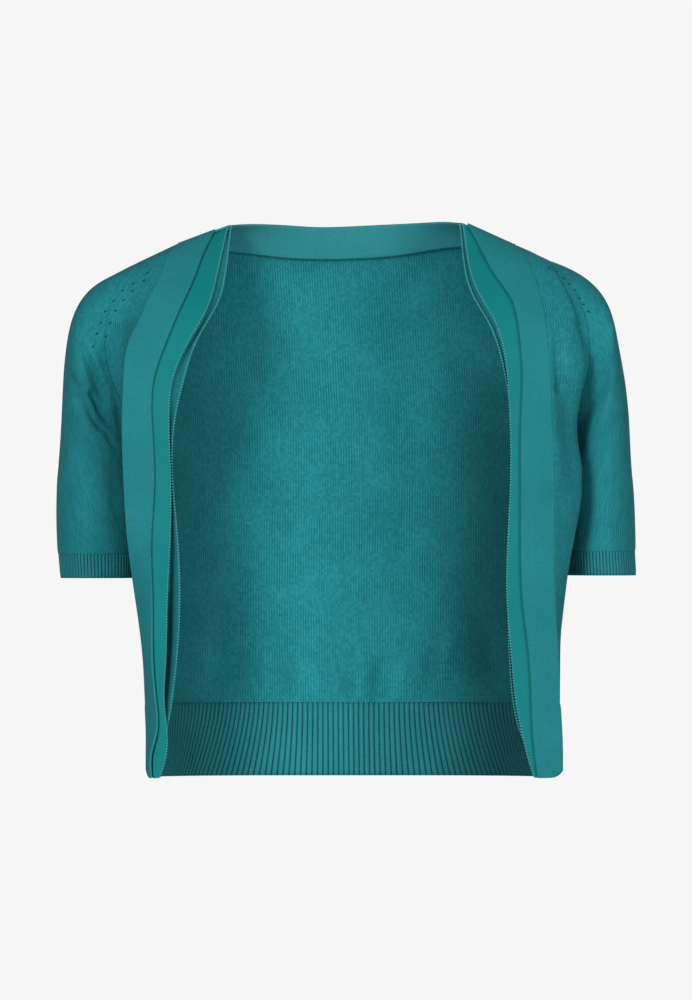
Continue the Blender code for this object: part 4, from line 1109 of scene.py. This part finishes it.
def surfaceUnder(wanted, grids, front):
    # the cloth's own point and direction under each (x, z), from the nearest grid point's plane
    points = np.concatenate([cloth.reshape(-1, 3) for cloth, out in grids])
    out = np.concatenate([out.reshape(-1, 3) for cloth, out in grids])
    least = stitching["marks"]["leastFacing"]
    facing = out[:, 1] < -least if front else out[:, 1] > least
    points, out = points[facing], out[facing]
    near = np.argmin(((wanted[:, None] - points[None][..., [0, 2]]) ** 2).sum(axis=-1), axis=1)
    base, normal = points[near], unit(out[near])
    apart = wanted - base[:, [0, 2]]
    slide = (apart[:, 0] * normal[:, 0] + apart[:, 1] * normal[:, 2]) / normal[:, 1]
    most = stitching["marks"]["mostSlide"]
    return np.stack([wanted[:, 0], base[:, 1] - slide.clip(-most, most), wanted[:, 1]], axis=1), normal


markPlaces, markRuns, markOuts = [], [], []
for side in sides:
    wanted = np.array(marks[side])
    part = panels[side]
    for front in (True, False):
        grids = [(part["sleeve"], part["sleeveOut"])]
        grids.append((part["front"], part["frontOut"]) if front else (backPoints, backOut))
        place, normal = surfaceUnder(wanted, grids, front)
        mirror = np.array([1.0 if side == "left" else -1.0, 1.0, 1.0])
        lean = mirror * np.array(stitching["marks"]["lean"]) + 0 * place
        markPlaces.append(place + stitching["marks"]["proud"] * normal)
        markRuns.append(lean - normal * np.sum(lean * normal, axis=1, keepdims=True))
        markOuts.append(normal)
markPlaces, markRuns, markOuts = (np.concatenate(part) for part in (markPlaces, markRuns, markOuts))
# each narrowing mark is a small dark bead lying on the cloth: painted shade for its hole
piece = beadPiece("narrowingMarks", markPlaces, markRuns, markOuts, stitching["marks"]["size"], markHoleShade)
print("stitches and marks made")

# floor, light and camera
studio = {
    "floor": -0.75, "floorRadius": 1.6, "floorSides": 96, "floorColour": (0.85, 0.85, 0.85, 1.0),
    "floorRoughness": 0.9,
    "backdrop": (0.922, 0.922, 0.922, 1.0), "sky": (0.98, 1.0, 1.02, 1.0), "skyStrength": 0.18,
    "lights": [
        # name, place, aimed at, width, watts
        ("keySoft", (-1.1, -2.7, 0.9), (0.0, 0.0, -0.2), 0.9, 66.0),
        ("fillSoft", (1.7, -2.3, 0.3), (0.0, 0.0, -0.2), 1.0, 36.0),
        ("topSoft", (0.0, -1.4, 2.4), (0.0, 0.0, -0.2), 0.9, 5.0),
        ("backSoft", (0.4, 2.9, 0.3), (0.0, 0.0, -0.2), 1.1, 22.0),
    ],
    "cameraDistance": 16.0, "pixel": 0.00075, "photoHeight": 1000, "middle": (-0.00075, -0.2055),
    "sensor": 36.0, "clip": (1.0, 60.0),
}
ringAngles = np.linspace(0.0, 2 * np.pi, studio["floorSides"], endpoint=False)
floorPoints = np.stack([studio["floorRadius"] * np.cos(ringAngles),
                        studio["floorRadius"] * np.sin(ringAngles),
                        studio["floor"] + 0 * ringAngles], axis=1)
floorMesh = bpy.data.meshes.new("floor")
floorMesh.from_pydata(floorPoints.tolist(), [], [list(range(studio["floorSides"]))])
floor = placed("floor", floorMesh)
floorPaint = bpy.data.materials.new("floorPaint")
floorPaint.use_nodes = True
floorShader = floorPaint.node_tree.nodes["Principled BSDF"]
floorShader.inputs["Base Color"].default_value = studio["floorColour"]
floorShader.inputs["Roughness"].default_value = studio["floorRoughness"]
floorMesh.materials.append(floorPaint)

world = bpy.data.worlds.new("studioSky")
world.use_nodes = True
skyTree = world.node_tree
sky = newNode(skyTree, "ShaderNodeBackground", {"Color": studio["sky"], "Strength": studio["skyStrength"]})
paper = newNode(skyTree, "ShaderNodeBackground", {"Color": studio["backdrop"], "Strength": 1.0})
seen = newNode(skyTree, "ShaderNodeLightPath", {}).outputs["Is Camera Ray"]
both = newNode(skyTree, "ShaderNodeMixShader", {0: seen, 1: sky.outputs[0], 2: paper.outputs[0]})
skyTree.links.new(both.outputs[0], skyTree.nodes["World Output"].inputs["Surface"])
bpy.context.scene.world = world
bpy.context.scene.view_settings.view_transform = "Standard"

for name, place, target, width, watts in studio["lights"]:
    lamp = bpy.data.lights.new(name, "AREA")
    lamp.shape, lamp.size, lamp.energy = "DISK", width, watts
    holder = placed(name, lamp)
    holder.location = place
    holder.rotation_euler = (Vector(target) - Vector(place)).to_track_quat("-Z", "Y").to_euler()

lens = bpy.data.cameras.new("frontCamera")
lens.sensor_width = studio["sensor"]
lens.lens = studio["sensor"] * studio["cameraDistance"] / (studio["photoHeight"] * studio["pixel"])
lens.clip_start, lens.clip_end = studio["clip"]
camera = placed("frontCamera", lens)
camera.location = (studio["middle"][0], -studio["cameraDistance"], studio["middle"][1])
camera.rotation_euler = (np.pi / 2, 0.0, 0.0)
bpy.context.scene.camera = camera
print("floor, light and camera made")
